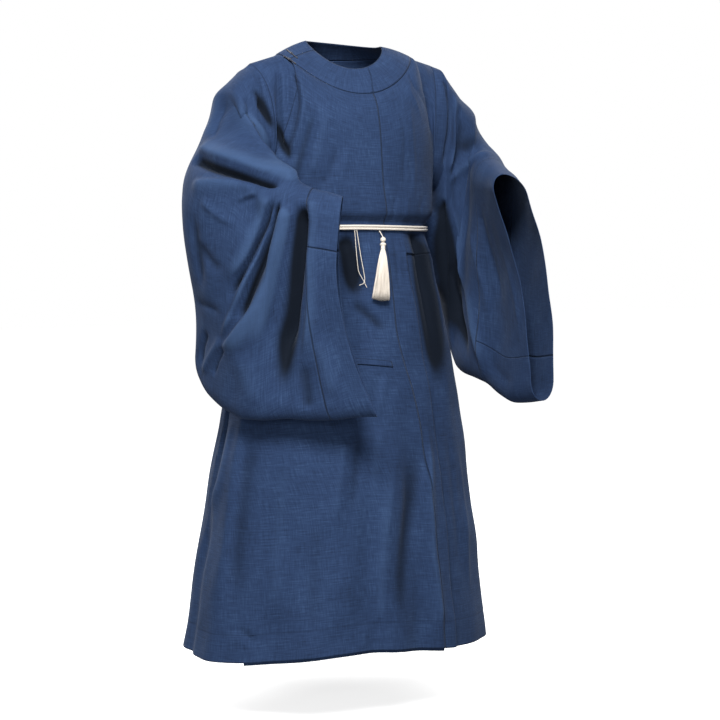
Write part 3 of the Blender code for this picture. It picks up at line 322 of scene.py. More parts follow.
def collar_edge(angle, across):
    """An ellipse in plan, low in front and almost level behind, from the neck (0) to the seam (1)."""
    edge = {name: mix(a, b, across) for name, a, b in zip(COLLAR_COLUMNS, NECK_EDGE, BAND_EDGE)}
    turn = np.radians(angle)
    forward = np.clip(np.cos(turn - np.radians(edge["lowest"])), 0, 1) ** edge["bend"]
    behind = np.clip(-np.cos(turn), 0, 1) ** edge["bend"]
    depth = np.where(np.cos(turn) >= 0, edge["front"], edge["back"])
    height = edge["level"] + edge["left_rise"] * np.sin(turn)
    return stack(
        edge["half_width"] * np.sin(turn),
        -depth * np.cos(turn),
        height - edge["front_drop"] * forward + edge["back_rise"] * behind,
    )


def side_of(angle):
    """-1 on the right, 1 on the left."""
    return np.where(angle < 0, -1.0, 1.0)


def folded(angle, behind):
    """Degrees from the nearer centre line, kept on its own side of the shoulder line."""
    size = np.abs(angle)
    return np.where(behind, 180 - np.maximum(size, 90), np.minimum(size, 90))


SHOULDER_EASE = 0.35  # how much slower the shoulder line leaves the collar and reaches its tip


def top_edge(angle, behind):
    """Along the collar's seam, then along the shoulder line to its tip."""
    away = folded(angle, behind)
    at_collar = np.clip(away / COLLAR_SPAN, 0, 1) * 90
    on_collar = collar_edge(side_of(angle) * np.where(behind, 180 - at_collar, at_collar), 1.0)
    along = np.clip((away - COLLAR_SPAN) / (90 - COLLAR_SPAN), 0, 1)
    tip = np.where((angle < 0)[..., None], SHOULDER_TIPS[0], SHOULDER_TIPS[1])
    return mix(on_collar, tip, mix(along, ease(along), SHOULDER_EASE)[..., None])


def upper_body(angle, down, behind):
    """Cubic Bezier from the top edge to the armpit ring, whose handles change round the body."""
    side = side_of(angle)
    facing = np.where(behind, 1.0, -1.0)
    away = folded(angle, behind)
    top = top_edge(angle, behind)
    ring_angle = side * np.where(behind, 180 - away, away)
    foot = lower_body(ring_angle, np.full_like(away, ARMPIT_DROP))
    beside_neck = ease(away / COLLAR_SPAN)
    at_armhole = ease((away - COLLAR_SPAN) / (90 - COLLAR_SPAN)) ** 2
    leave_out, leave_fall, leave_in, arrive_out, arrive_rise, arrive_in = (
        mix(mix(centre, neck, beside_neck), armhole, at_armhole) for centre, neck, armhole in DRAPE.T
    )
    leave = stack(-side * leave_in, facing * leave_out, -leave_fall)
    arrive = stack(-side * arrive_in, facing * arrive_out, arrive_rise)
    t = down[..., None]
    return (
        top * (1 - t) ** 3
        + (top + leave) * 3 * t * (1 - t) ** 2
        + (foot + arrive) * 3 * t**2 * (1 - t)
        + foot * t**3
    )


def drop_of(level):
    """Level 0 is the top edge, 1 the armpit and 2 the hem."""
    return np.where(level < 1, ARMPIT_DROP * level, mix(ARMPIT_DROP, ROBE_DROP, level - 1))


def level_of(drop):
    """The other way round, below the armpit."""
    return 1 + (np.asarray(drop) - ARMPIT_DROP) / (ROBE_DROP - ARMPIT_DROP)


def body(angle, level, behind):
    """The Bezier part above level 1 and the ring part below it."""
    high = upper_body(angle, np.clip(level, 0, 1), behind)
    low = lower_body(angle, drop_of(np.maximum(level, 1)))
    return np.where((level <= 1)[..., None], high, low)


NORMAL_TURN, NORMAL_LEVEL = 0.4, 0.01  # how far to either side of a point its slopes are read


def body_normal(angle, level, behind):
    """Cross product of the slopes down the body and round it."""
    size = np.abs(angle)
    one_sided = level < 1
    low_limit = np.where(one_sided & behind, 90.0, 0.0)
    high_limit = np.where(one_sided & ~np.asarray(behind), 90.0, 360.0)
    side = side_of(angle)
    first = side * np.clip(size - NORMAL_TURN, low_limit, high_limit)
    second = side * np.clip(size + NORMAL_TURN, low_limit, high_limit)
    across = (body(second, level, behind) - body(first, level, behind)) * side[..., None]
    above = body(angle, np.maximum(level - NORMAL_LEVEL, 0.0), behind)
    below = body(angle, np.minimum(level + NORMAL_LEVEL, 2.0), behind)
    return unit(np.cross(below - above, across))


chest = body(np.array([0.0]), np.array([0.5]), False)[0]
print("centre of the chest:", chest.round(3))

# %% [markdown]
# ## Creases placed one by one
# Cloth remembers how it is pulled: creases run from the shoulder to the armpit, gather at the elbow
# and fall from the forearm. Each crease here is a line through a few places on the cloth, in metres,
# with a depth and a width on either side of it, so that one flank can be steep and the other soft.

# %% Crease function
CREASE_POINTS = 22
CREASE_REACH = 3  # widths, beyond which a crease is nothing
PAST_EDGE_ON, AGREE_SPAN = 0.15, 0.45  # a crease fades where the cloth turns away from its facing
CRISPEST, CRISPNESS_SLOPE, ROUNDEST = 1.25, 35, 2  # powers: of no width, its rise for a metre, the most


def crease_lift(points, normals, creases):
    """Sum of depth * fade * exp(-(distance / width)^p) over the creases that face the same way.

    The power p is 2 for a wide crease and less for a narrow one, whose crest is crisper.

    A crease is (facing, depth, width on its right, width on its left, fade in, fade out, places).
    facing is the direction it is seen from, in degrees round the robe from the front, + to its left;
    fades are shares of its length. Its right and left are as seen going along it from outside.
    """
    flat, out = points.reshape(-1, 3), normals.reshape(-1, 3)
    total = np.zeros(len(flat))
    for facing, depth, right, left, fade_in, fade_out, places in creases:
        line = smooth_path(places, CREASE_POINTS)
        reach = CREASE_REACH * max(right, left)
        near = np.all((flat > line.min(0) - reach) & (flat < line.max(0) + reach), axis=1)
        seen_from = np.array((math.sin(math.radians(facing)), -math.cos(math.radians(facing)), 0.0))
        near &= out @ seen_from > -PAST_EDGE_ON
        if not near.any():
            continue
        here, up = flat[near], out[near]
        start, run = line[:-1], np.diff(line, axis=0)
        away = here[:, None, :] - start
        at = np.clip((away * run).sum(-1) / (run**2).sum(-1), 0, 1)
        gap = away - at[..., None] * run
        distance = np.linalg.norm(gap, axis=-1)
        nearest = distance.argmin(axis=1)
        rows = np.arange(len(here))
        on_right = (np.cross(run[nearest], up) * gap[rows, nearest]).sum(-1) > 0
        along = (nearest + at[rows, nearest]) / (CREASE_POINTS - 1)
        fade = ease(along / max(fade_in, 1e-3)) * ease((1 - along) / max(fade_out, 1e-3))
        width = np.where(on_right, right, left)
        agree = ease((up @ seen_from + PAST_EDGE_ON) / AGREE_SPAN)
        crispness = np.minimum(CRISPEST + CRISPNESS_SLOPE * width, ROUNDEST)
        total[near] += depth * fade * agree * np.exp(-((distance[rows, nearest] / width) ** crispness))
    return total.reshape(points.shape[:-1])


# Slow swells of hanging cloth: wavelength, height and direction (x, y, z) of each
SWELL_START = 1.7  # radians between the starts of one swell and the next
SWELLS = np.array([
    (0.210, 0.0011, 0.30, 0.20, 0.93),
    (0.145, 0.0009, 0.80, -0.35, 0.48),
    (0.118, 0.0008, -0.55, 0.62, 0.56),
    (0.083, 0.0005, 0.90, 0.15, -0.40),
    (0.064, 0.0004, -0.35, 0.80, 0.48),
])


def swells(points):
    """Sum of height * sin(2 pi * (place along its direction) / wavelength), each with its own start."""
    total = np.zeros(points.shape[:-1])
    for i, (wavelength, height, *direction) in enumerate(SWELLS):
        waves = points @ unit(np.array(direction)) / wavelength
        total += height * np.sin(2 * np.pi * waves + SWELL_START * i)
    return total


print("slow swells up to", round(float(SWELLS[:, 1].sum() * 1000), 1), "mm")

# %% [markdown]
# ## Where the creases lie
# The body: soft drags from the armpits, small bends above and below the belt, the fold under the
# pocket and the long puckered front seam. The sleeves: a sharp fold that falls from the shoulder over
# the bent arm, a deep trough in the bend, and long folds that fan out from the forearm.

# %% Creases of the body
def creases(table):
    """Rows of "facing depth right left fade-in fade-out: x y z, x y z, ...;" as crease_lift takes them.

    Lengths and places are in millimetres and fades in hundredths of the crease's length.
    """
    rows = []
    for row in table.split(";")[:-1]:
        head, places = row.split(":")
        facing, depth, right, left, fade_in, fade_out = map(float, head.split())
        line = np.array([place.split() for place in places.split(",")], float) / 1000
        rows.append((facing, depth / 1000, right / 1000, left / 1000, fade_in / 100, fade_out / 100, line))
    return rows


BODY_CREASES = creases("""
-30 -7 8 4 10 20: -162 -59 -74, -165 -88 -111, -166 -94 -146, -172 -91 -185, -181 -85 -224, -192 -77 -254;
-30 6 4 12 12 20: -158 -76 -75, -159 -95 -111, -158 -103 -146, -164 -101 -189, -173 -94 -228, -184 -87 -263;
-30 -8 12 12 25 10: -136 -122 -155, -150 -115 -198, -163 -107 -246, -175 -102 -294, -182 -97 -324;
-30 5 14 18 25 15: -105 -129 -137, -125 -133 -192, -139 -127 -246, -151 -121 -307;
-30 -4 9 9 30 20: -95 -147 -229, -105 -143 -272, -119 -136 -311, -131 -130 -333;
-30 3 9 9 30 20: -68 -152 -224, -82 -151 -279, -98 -148 -333;
10 -3.5 4 5 10 25: 166 13 -26, 113 -96 -64, 118 -118 -97, 153 -105 -131, 196 -61 -172;
10 3 5 7 10 25: 161 28 -30, 181 38 -56, 100 -126 -107, 122 -129 -147, 139 -127 -195;
10 -4 5 5 20 15: 143 -103 -91, 192 -59 -140, 196 -66 -200;
10 4 5 6 20 15: 194 -48 -85, 206 -63 -140;
10 2.5 5 6 30 30: 93 -132 -121, 94 -148 -198, 102 -144 -286, 97 -149 -365;
10 -2.5 6 6 30 30: 69 -146 -154, 72 -154 -243, 70 -154 -332;
-10 2.5 4 4 20 30: -12 -152 -407, -24 -168 -377, -32 -165 -346;
0 -2.5 4 4 20 30: 42 -148 -405, 38 -163 -372, 51 -159 -336;
0 2.5 4 4 20 30: 78 -141 -403, 77 -155 -367, 94 -148 -331;
0 -2.5 4 4 20 30: 124 -122 -400, 126 -136 -367, 154 -117 -335;
-10 -3 5 5 10 35: -36 -149 -429, -47 -159 -473, -65 -174 -530;
-10 3 5 5 10 35: -16 -151 -429, -26 -164 -478, -43 -180 -543;
0 -3 5 5 10 35: 48 -148 -430, 44 -167 -492, 45 -183 -562;
0 3 6 6 10 35: 72 -142 -427, 73 -159 -492, 73 -180 -572;
5 -5 6 6 10 30: 115 -124 -425, 123 -136 -493, 132 -153 -579, 140 -171 -691;
5 4 7 7 10 30: 155 -98 -423, 180 -93 -494, 186 -118 -586, 190 -143 -695;
10 -9 20 26 6 45: 111 -126 -412, 121 -136 -484, 129 -154 -579, 140 -171 -691, 153 -184 -813;
-20 -20 22 24 15 45: -78 -138 -425, -70 -155 -477, -70 -174 -534, -57 -186 -587;
-20 -9 14 12 20 40: -80 -181 -573, -49 -189 -600, -19 -199 -627, 9 -204 -654;
-20 -4 5 4 8 25: -29 -220 -730, -42 -222 -765, -54 -220 -795, -67 -220 -827;
-20 4 4 10 8 25: -16 -221 -735, -30 -226 -770, -41 -228 -804, -51 -228 -834;
-10 -9 26 20 30 25: 67 -233 -858, 53 -238 -919, 36 -245 -993, 20 -256 -1066, 2 -271 -1146, -10 -288 -1226,
    -6 -290 -1306;
-10 6 22 14 30 12: 7 -241 -880, -21 -254 -965, -44 -268 -1071, -57 -276 -1179, -65 -287 -1286;
-10 8 8 12 20 10: 87 -225 -842, 87 -234 -922, 81 -249 -1009, 81 -258 -1107, 87 -270 -1204, 95 -278 -1307;
-20 -6 14 14 20 45: -73 -222 -842, -88 -231 -889, -102 -242 -939, -114 -250 -998, -125 -255 -1066;
-20 5 14 16 15 35: -44 -233 -843, -53 -240 -903, -65 -248 -976, -77 -254 -1062;
-20 5 18 12 15 35: -122 -225 -857, -134 -233 -920, -150 -243 -1001, -163 -249 -1086;
-45 7 18 16 15 35: -290 -32 -826, -301 -18 -894, -320 -17 -969, -318 30 -1057, -332 39 -1143;
-45 -6 22 22 20 30: -278 -86 -853, -295 -90 -944, -313 -96 -1052, -328 -106 -1164, -337 -122 -1266;
-45 -5 9 10 25 30: -292 48 -893, -311 56 -979, -336 74 -1148;
-35 5 24 24 25 25: -220 -155 -858, -239 -163 -961, -252 -164 -1069, -270 -183 -1195, -274 -189 -1303;
-30 -4 20 20 30 25: -187 -222 -1001, -201 -233 -1107, -213 -245 -1212, -222 -256 -1313;
-30 4 20 20 30 25: -144 -264 -1128, -146 -275 -1214, -147 -282 -1312;
-30 -5 9 8 15 15: -338 -125 -1282, -323 -148 -1293, -303 -162 -1314;
-30 3 7 7 15 15: -341 -115 -1302, -328 -140 -1312, -313 -161 -1331;
-15 3 7 7 10 30: -113 -287 -1324, -109 -284 -1303, -102 -281 -1265;
-15 -3 5 5 10 30: -90 -287 -1325, -84 -284 -1298, -75 -283 -1259;
20 4 9 9 25 25: 198 -175 -899, 212 -178 -1015, 213 -199 -1128, 217 -211 -1265;
20 -4 9 9 25 25: 163 -186 -850, 173 -196 -964, 178 -211 -1077, 187 -219 -1214;
180 -7 8 12 15 30: 190 52 -130, 165 88 -200, 150 96 -280, 145 94 -340;
180 5 8 12 15 30: 165 75 -120, 140 104 -200, 125 106 -280, 120 106 -340;
180 -6 12 8 15 30: -190 53 -120, -170 81 -210, -150 96 -300, -140 101 -350;
180 4 12 8 15 30: -160 85 -130, -140 100 -220, -120 110 -310;
180 -3 6 6 20 30: 90 108 -410, 95 116 -370, 110 110 -320;
180 3 5 6 20 30: 50 117 -410, 50 126 -360, 60 124 -310;
180 -3 5 5 20 30: -30 120 -410, -40 127 -370, -35 125 -320;
180 3 6 5 20 30: -80 112 -410, -85 119 -360, -100 115 -310;
180 -5 8 9 10 40: 60 114 -430, 65 149 -550, 80 187 -720;
180 5 9 9 10 40: 20 121 -430, 20 156 -560, 30 210 -800;
180 -5 9 8 10 40: -50 119 -430, -60 164 -600, -70 211 -780;
180 4 8 9 10 40: -100 105 -430, -120 142 -580, -130 171 -740;
180 -5 16 12 30 20: 170 171 -800, 190 191 -1000, 210 207 -1200, 220 211 -1330;
180 5 14 16 30 20: -150 168 -750, -170 197 -980, -190 219 -1180, -200 236 -1320;
70 -7 10 10 20 20: 183 -67 -440, 232 -74 -650, 264 -85 -900, 300 -88 -1200;
70 5 12 10 20 20: 210 -2 -460, 259 -9 -700, 290 -10 -950, 324 -11 -1250;
-90 -6 10 12 20 20: -193 30 -440, -255 30 -700, -303 40 -950, -354 50 -1250;
-90 5 12 10 20 20: -195 -50 -460, -259 -60 -700, -317 -70 -980, -365 -80 -1280;
""")
print("creases on the body:", len(BODY_CREASES))

# %% Creases of the two sleeves
RIGHT_SLEEVE_CREASES = creases("""
-30 12 40 6 35 10: -283 -7 -110, -281 -47 -142, -260 -53 -172, -238 -58 -200, -218 -60 -230, -227 -214 -325;
-30 7 5 9 15 15: -215 -57 -128, -210 -65 -171;
-30 -8 5 5 15 15: -229 -35 -83, -228 -59 -128, -219 -63 -172, -210 -65 -206;
-30 11 8 34 15 10: -345 34 -245, -348 -31 -254, -335 -83 -268, -313 -125 -282, -287 -158 -295,
    -256 -182 -310, -231 -217 -327;
-30 -28 11 9 12 12: -359 19 -267, -361 -46 -278, -348 -91 -290, -332 -125 -299, -313 -154 -308,
    -292 -177 -319, -262 -203 -329;
-30 9 26 6 15 20: -390 -21 -319, -375 -66 -317, -355 -104 -316, -333 -137 -314, -309 -164 -317,
    -287 -187 -327, -262 -211 -338;
-30 5 4 5 20 20: -341 -139 -359, -324 -157 -348, -308 -176 -340;
-30 -5 5 5 20 20: -340 -140 -369, -323 -158 -359, -306 -181 -351;
-30 5 6 10 20 30: -387 -62 -354, -377 -86 -375, -365 -109 -393, -337 -143 -412;
-30 -7 14 10 30 30: -390 -45 -442, -370 -84 -489, -352 -114 -510;
-30 9 26 6 10 25: -285 -200 -346, -297 -181 -395, -312 -164 -446, -329 -146 -492, -354 -110 -536;
-30 -17 5 6 10 20: -280 -205 -349, -291 -190 -399, -303 -171 -450, -321 -154 -499, -342 -132 -544,
    -352 -113 -574;
-30 14 6 6 10 20: -277 -208 -351, -286 -198 -403, -297 -177 -454, -317 -159 -505, -335 -143 -556,
    -348 -119 -604, -347 -77 -658;
-30 -28 8 8 10 20: -273 -215 -357, -283 -202 -412, -289 -184 -471, -303 -169 -526, -321 -157 -573,
    -338 -133 -621;
-30 15 5 30 8 18: -267 -221 -357, -279 -211 -399, -282 -199 -450, -286 -182 -501, -301 -169 -547,
    -321 -156 -594, -339 -120 -647, -344 -61 -685;
-30 7 9 9 20 20: -347 -83 -653, -347 -41 -686, -350 -6 -719, -352 7 -742;
-30 -9 6 6 20 20: -342 -91 -670, -343 -58 -703, -346 -32 -740;
-30 -8 8 10 20 30: -356 -24 -639, -352 11 -689, -353 20 -725;
-30 -34 22 10 12 50: -233 -256 -357, -239 -257 -410, -242 -250 -466, -247 -241 -534, -251 -224 -606,
    -256 -206 -679, -268 -206 -764;
-30 -9 22 20 40 40: -247 -240 -567, -249 -216 -653, -260 -209 -734, -270 -209 -794;
-30 9 6 26 6 30: -226 -256 -349, -232 -267 -410, -230 -263 -479, -230 -263 -550, -230 -253 -631,
    -234 -237 -721;
-30 8 24 14 10 30: -258 -235 -366, -269 -224 -420, -275 -199 -488, -284 -178 -560, -301 -173 -637,
    -310 -163 -706;
-30 6 26 26 30 30: -328 -132 -677, -315 -152 -751, -297 -173 -804;
-30 6 20 20 30 30: -215 -273 -630, -198 -286 -714, -183 -302 -790;
-30 -8 16 16 30 20: -233 -236 -695, -230 -248 -758, -228 -253 -805;
-30 8 28 22 30 30: -276 13 -99, -297 31 -143, -320 29 -196, -342 9 -237;
-30 -6 10 10 30 30: -291 -2 -136, -310 8 -184, -334 -11 -229;
-30 -8 14 14 30 30: -396 -40 -377, -388 -41 -463, -371 -43 -555;
-30 -5 8 8 30 30: -366 10 -578, -365 -40 -585, -356 -93 -601;
-160 -10 9 9 15 30: -283 75 -260, -288 76 -400, -294 77 -520, -203 -187 -640;
-160 7 9 12 15 30: -318 84 -280, -318 71 -420, -325 60 -580;
-160 -8 8 9 15 30: -345 70 -300, -346 59 -450, -347 46 -600;
""")
LEFT_SLEEVE_CREASES = creases("""
-20 -9 5 6 10 15: 245 -40 -64, 246 -60 -102, 252 -60 -143, 250 -55 -189, 244 -52 -235, 242 -46 -277;
-20 7 5 8 10 15: 265 -53 -105, 271 -53 -147, 271 -45 -197, 264 -47 -249, 260 -45 -290;
-20 -7 6 8 15 15: 277 -56 -128, 281 -54 -174, 282 -44 -220, 279 -37 -262, 264 -42 -304;
-20 -4 16 16 40 40: 286 -60 -156, 292 -58 -188, 292 -51 -220, 285 -40 -248;
-20 7 18 13 25 25: 365 -77 -243, 324 -86 -251, 310 -49 -266, 285 -36 -288, 255 -43 -314;
-60 12 20 26 30 30: 250 13 -365, 255 26 -402, 262 36 -436, 272 43 -484;
-60 13 20 26 20 30: 249 4 -365, 263 24 -445, 275 26 -521, 288 22 -603;
-20 12 5 24 15 20: 268 -37 -342, 282 -28 -393, 302 -21 -454, 308 -33 -521, 294 -76 -585, 293 -103 -654,
    293 -129 -718, 292 -147 -768;
-20 -20 14 12 10 30: 250 -30 -342, 264 -18 -412, 278 -14 -473, 297 -7 -545, 304 -18 -611, 297 -55 -676,
    294 -86 -735;
-20 -5 14 14 25 30: 276 -142 -352, 287 -160 -435, 296 -184 -517, 301 -211 -594;
-20 4 12 12 25 30: 305 -49 -374, 288 -109 -467, 295 -142 -564, 302 -165 -651;
-20 3 12 12 25 30: 276 -220 -443, 276 -262 -515, 283 -287 -590, 288 -301 -666;
-20 -3 14 14 30 30: 295 -151 -712, 292 -205 -745, 286 -277 -771;
110 -10 9 9 15 30: 408 -22 -260, 399 -36 -380, 375 -66 -520, 361 -81 -660;
110 7 12 9 15 30: 405 9 -280, 395 -5 -420, 375 -23 -580, 356 -41 -700;
110 -8 8 10 15 30: 378 53 -300, 376 41 -440, 363 26 -600;
110 -5 10 12 30 40: 263 74 -170, 360 67 -190, 392 36 -210;
""")
print("creases on the right sleeve:", len(RIGHT_SLEEVE_CREASES), "and on the left:", len(LEFT_SLEEVE_CREASES))

# %% Creases across the right armhole, and painted shade in hollows
AT_RIGHT_ARMHOLE = creases("""
-30 -16 6 13 25 15: -259 -38 -102, -247 -62 -138, -226 -62 -172, -208 -65 -206, -192 -73 -241,
    -182 -91 -274;
-30 -6 5 4 10 20: -187 -36 -64, -193 -52 -109, -195 -60 -153, -195 -60 -197, -195 -70 -241, -192 -78 -263;
-30 5 4 7 10 20: -179 -40 -64, -184 -59 -114, -185 -65 -162, -189 -72 -210, -188 -80 -250;
""")
BODY_CREASES += AT_RIGHT_ARMHOLE
RIGHT_SLEEVE_CREASES += AT_RIGHT_ARMHOLE

# Hollows have no shape: they are painted shade, darkening the cloth where it hangs close to its neighbour
PAINTED_HOLLOW_SHADE = creases("""
-20 -8 18 18 40 40: 341 -44 -195, 315 -58 -215, 297 -51 -234, 285 -40 -253;
-30 -9 10 10 25 25: -247 -53 -107, -237 -62 -138, -221 -63 -172, -199 -58 -210, -190 -78 -250;
20 -12 26 42 20 45: 115 -124 -407, 125 -134 -484, 132 -153 -579, 140 -171 -691, 153 -184 -813;
60 -12 46 46 20 45: 155 -99 -412, 161 -111 -494, 156 -145 -589, 166 -160 -693, 177 -172 -797;
-20 -11 42 28 35 40: 246 -32 -318, 265 -20 -412, 281 -14 -478, 299 -8 -550, 304 -23 -620, 297 -60 -685,
    295 -89 -744;
-45 -14 36 34 35 35: 237 -16 -318, 263 16 -445, 277 20 -540, 292 15 -636, 299 -9 -712;
""")
print("creases across the armhole:", len(AT_RIGHT_ARMHOLE), "and hollows:", len(PAINTED_HOLLOW_SHADE))

# %% [markdown]
# ## From grids to cloth
# A panel is one or more grids of points. Each grid also carries the cloth's own lengths, in metres,
# as its UV map, so that threads keep their true size and run straight down the panel, and three
# attributes: how far each point is from the nearest seam, how far from the hem, and how high its
# crease stands, with the painted shade of the hollows added. A Solidify modifier then gives the
# thin cloth its thickness.

# %% Mesh makers
def mesh_object(name, points, faces, material, uv=None, uv_map="cord"):
    """A mesh object; uv has one pair for each point."""
    mesh = bpy.data.meshes.new(name)
    mesh.from_pydata(points.reshape(-1, 3), [], faces)
    if uv is not None:
        corners = np.zeros(len(mesh.loops), int)
        mesh.loops.foreach_get("vertex_index", corners)
        mesh.uv_layers.new(name=uv_map).data.foreach_set("uv", uv.reshape(-1, 2)[corners].ravel())
    mesh.materials.append(material)
    return placed(name, mesh)


def finish_mesh(mesh, merge=0.0, closed=True):
    """Merges points that near and smooths; a closed mesh is filled and its faces turned outwards."""
    work = bmesh.new()
    work.from_mesh(mesh)
    if merge:
        bmesh.ops.remove_doubles(work, verts=work.verts, dist=merge)
    if closed:
        bmesh.ops.holes_fill(work, edges=work.edges)
        bmesh.ops.recalc_face_normals(work, faces=work.faces)
    work.to_mesh(mesh)
    work.free()
    mesh.shade_smooth()


print("mesh makers: mesh_object and finish_mesh")

# %% Cloth maker
FAR = 0.5  # stands for no seam near
FOLD_UNIT, FOLD_RANGE = 0.012, (-1.5, 1.0)  # the height that counts as 1 in "fold", and its limits
SEAM_MERGE = 2e-5  # points of neighbouring grids this near become one


class Grid:
    """One grid of a panel: points, outward normals, cloth lengths u across and v down, seam and hem."""

    def __init__(self, points, normals, fold=0.0, seams=(), across_from=None, hem=False):
        """fold: crease height plus the painted shade of the hollows; it sets painted shade and highlight.
        seams: the sides that are sewn, of left, right, top and bottom.
        """
        self.points, self.normals = points, normals
        u, v = lengths_along(points, 1), lengths_along(points, 0)
        zero = {"left": u[:, :1], "right": u[:, -1:]}.get(across_from, 0)
        sides = {"left": u, "right": u[:, -1:] - u, "top": v, "bottom": v[-1:] - v}
        self.uv = np.stack([u - zero, v[:, v.shape[1] // 2][:, None] + 0 * u], axis=-1)
        self.seam = np.minimum.reduce([np.full_like(u, FAR)] + [sides[s] for s in seams])
        self.hem = sides["bottom"] if hem else np.full_like(u, FAR)
        self.fold = np.clip(fold / FOLD_UNIT, *FOLD_RANGE) + 0 * u


def grid_faces(grid):
    """Four points to a face, turned so that most faces look along the grid's normals."""
    rows, columns = grid.points.shape[:2]
    at = np.arange(rows * columns).reshape(rows, columns)
    quads = np.stack([at[:-1, :-1], at[1:, :-1], at[1:, 1:], at[:-1, 1:]], axis=-1).reshape(-1, 4)
    corner, below, beside = (grid.points.reshape(-1, 3)[quads[:, i]] for i in (0, 1, 3))
    out = grid.normals.reshape(-1, 3)[quads[:, 0]]
    return quads if (np.cross(below - corner, beside - corner) * out).sum() >= 0 else quads[:, ::-1]


def cloth_panel(name, grids, thickness=CLOTH):
    """A linen mesh from grids whose shared points are merged, thickened both ways by Solidify."""
    starts = np.cumsum([0] + [grid.seam.size for grid in grids])
    faces = np.concatenate([grid_faces(grid) + start for grid, start in zip(grids, starts)])
    every = {
        label: np.concatenate([getattr(grid, label).reshape(-1, size) for grid in grids])
        for label, size in (("points", 3), ("uv", 2), ("seam", 1), ("hem", 1), ("fold", 1))
    }
    obj = mesh_object(name, every["points"], faces.tolist(), linen_cloth, every["uv"], "cloth")
    for label in ("seam", "hem", "fold"):
        obj.data.attributes.new(label, "FLOAT", "POINT").data.foreach_set("value", every[label].ravel())
    finish_mesh(obj.data, SEAM_MERGE, closed=False)
    shell = obj.modifiers.new("cloth", "SOLIDIFY")
    shell.thickness, shell.offset = thickness, 0
    print(name, len(obj.data.polygons), "cells")
    return obj


print("cloth is", round(CLOTH * 1000, 1), "mm thick")

# %% [markdown]
# ## The linen
# The cloth is a plain weave of slubby blue yarn: each thread swells and thins along its length, so
# fine short streaks run both ways, a little lighter or darker than their neighbours. Two noises, each
# stretched along one direction of the cloth's UV map, give those streaks; fine waves give the threads
# themselves as bump. Near a seam the cloth sinks, darkens and puckers, and a faint line follows a hem.
# An attribute called fold gives painted shade in the hollows of creases and a painted highlight on their
# ridges.

# %% Shader maths
class Socket:
    """A shader value: + - * and the named sums below add Math nodes to its material."""

    def __init__(self, shader, output):
        self.shader, self.output = shader, output

    def _math(self, operation, *values):
        sockets = {f"i{i}": value for i, value in enumerate((self, *values))}
        return self.shader.node("ShaderNodeMath", {"operation": operation}, **sockets)

    def __add__(self, other):
        return self._math("ADD", other)

    def __sub__(self, other):
        return self._math("SUBTRACT", other)

    def __mul__(self, other):
        return self._math("MULTIPLY", other)

    def sine(self):
        """Its sine, in radians."""
        return self._math("SINE")

    def size(self):
        """Its size without its sign."""
        return self._math("ABSOLUTE")

    def least(self, other):
        """The smaller of the two."""
        return self._math("MINIMUM", other)


class Finish:
    """One material: its nodes are made by node(), its maths by Socket."""

    def __init__(self, name):
        self.material = bpy.data.materials.new(name)
        self.material.use_nodes = True
        self.tree = self.material.node_tree
        self.shader = self.tree.nodes["Principled BSDF"]

    def node(self, kind, settings=None, out=0, **inputs):
        """A node of that kind: its settings first, then its sockets by name, or by number as i0, i1."""
        made = self.tree.nodes.new(kind)
        for key, value in (settings or {}).items():
            setattr(made, key, value)
        for key, value in inputs.items():
            self.feed(made.inputs[int(key[1:]) if key[1:].isdigit() else key.replace("_", " ")], value)
        return Socket(self, made.outputs[out])

    def feed(self, slot, value):
        """A link for a Socket, a fixed value for anything else."""
        if isinstance(value, Socket):
            self.tree.links.new(value.output, slot)
        else:
            slot.default_value = value

    def set(self, **inputs):
        """Sockets of the Principled shader."""
        for key, value in inputs.items():
            self.feed(self.shader.inputs[key.replace("_", " ")], value)

    def relief(self, height, distance, strength):
        """Bumps of that height times that distance."""
        self.set(Normal=self.node("ShaderNodeBump", Strength=strength, Distance=distance, Height=height))

    def attribute(self, name):
        """A value that the mesh carries at each point."""
        return self.node("ShaderNodeAttribute", {"attribute_name": name}, out=2)

    def uv(self, name):
        """The two values of a UV map."""
        place = self.node("ShaderNodeUVMap", {"uv_map": name})
        return [self.node("ShaderNodeSeparateXYZ", out=axis, Vector=place) for axis in (0, 1)]

    def smooth(self, value, low, high):
        """0 where value is at low, 1 where it is at high, on a smooth step; low may be above high."""
        ends = (low, high, 0.0, 1.0) if low < high else (high, low, 1.0, 0.0)
        sockets = {f"i{i}": end for i, end in enumerate(ends, 1)}
        return self.node("ShaderNodeMapRange", {"interpolation_type": "SMOOTHSTEP"}, i0=value, **sockets)

    def noise(self, vector, scale=1.0, detail=2.0, roughness=0.5):
        """Soft noise from 0 to 1."""
        return self.node("ShaderNodeTexNoise", Vector=vector, Scale=scale, Detail=detail, Roughness=roughness)

    def vector(self, x, y, z=0.0):
        """Three values as one place."""
        return self.node("ShaderNodeCombineXYZ", X=x, Y=y, Z=z)

    def blend(self, share, first, second):
        """first + (second - first) * share, for colours."""
        return self.node("ShaderNodeMix", {"data_type": "RGBA"}, out=2, i0=share, i6=first, i7=second)


print("shader maths: + - *", ", ".join(name for name in vars(Socket) if not name.startswith("_")))

# %% The linen's material
# Deepest blue: sunk seams and painted shade in crease hollows; palest: pale slubs and painted highlight on
# ridges
LINEN_DARK = (0.0080, 0.0155, 0.0370, 1.0)
LINEN = (0.0180, 0.0370, 0.0920, 1.0)
LINEN_PALE = (0.0470, 0.0900, 0.1880, 1.0)
LINEN_SHADE_AND_SEAM = (0.0020, 0.0042, 0.0085, 1.0)
SHEEN_TINT = (0.55, 0.68, 0.95, 1.0)
SLUB_LONG, SLUB_THIN = 30, 430  # changes of tone in a metre, along a thread and across it
THREAD_PITCH = 0.0009


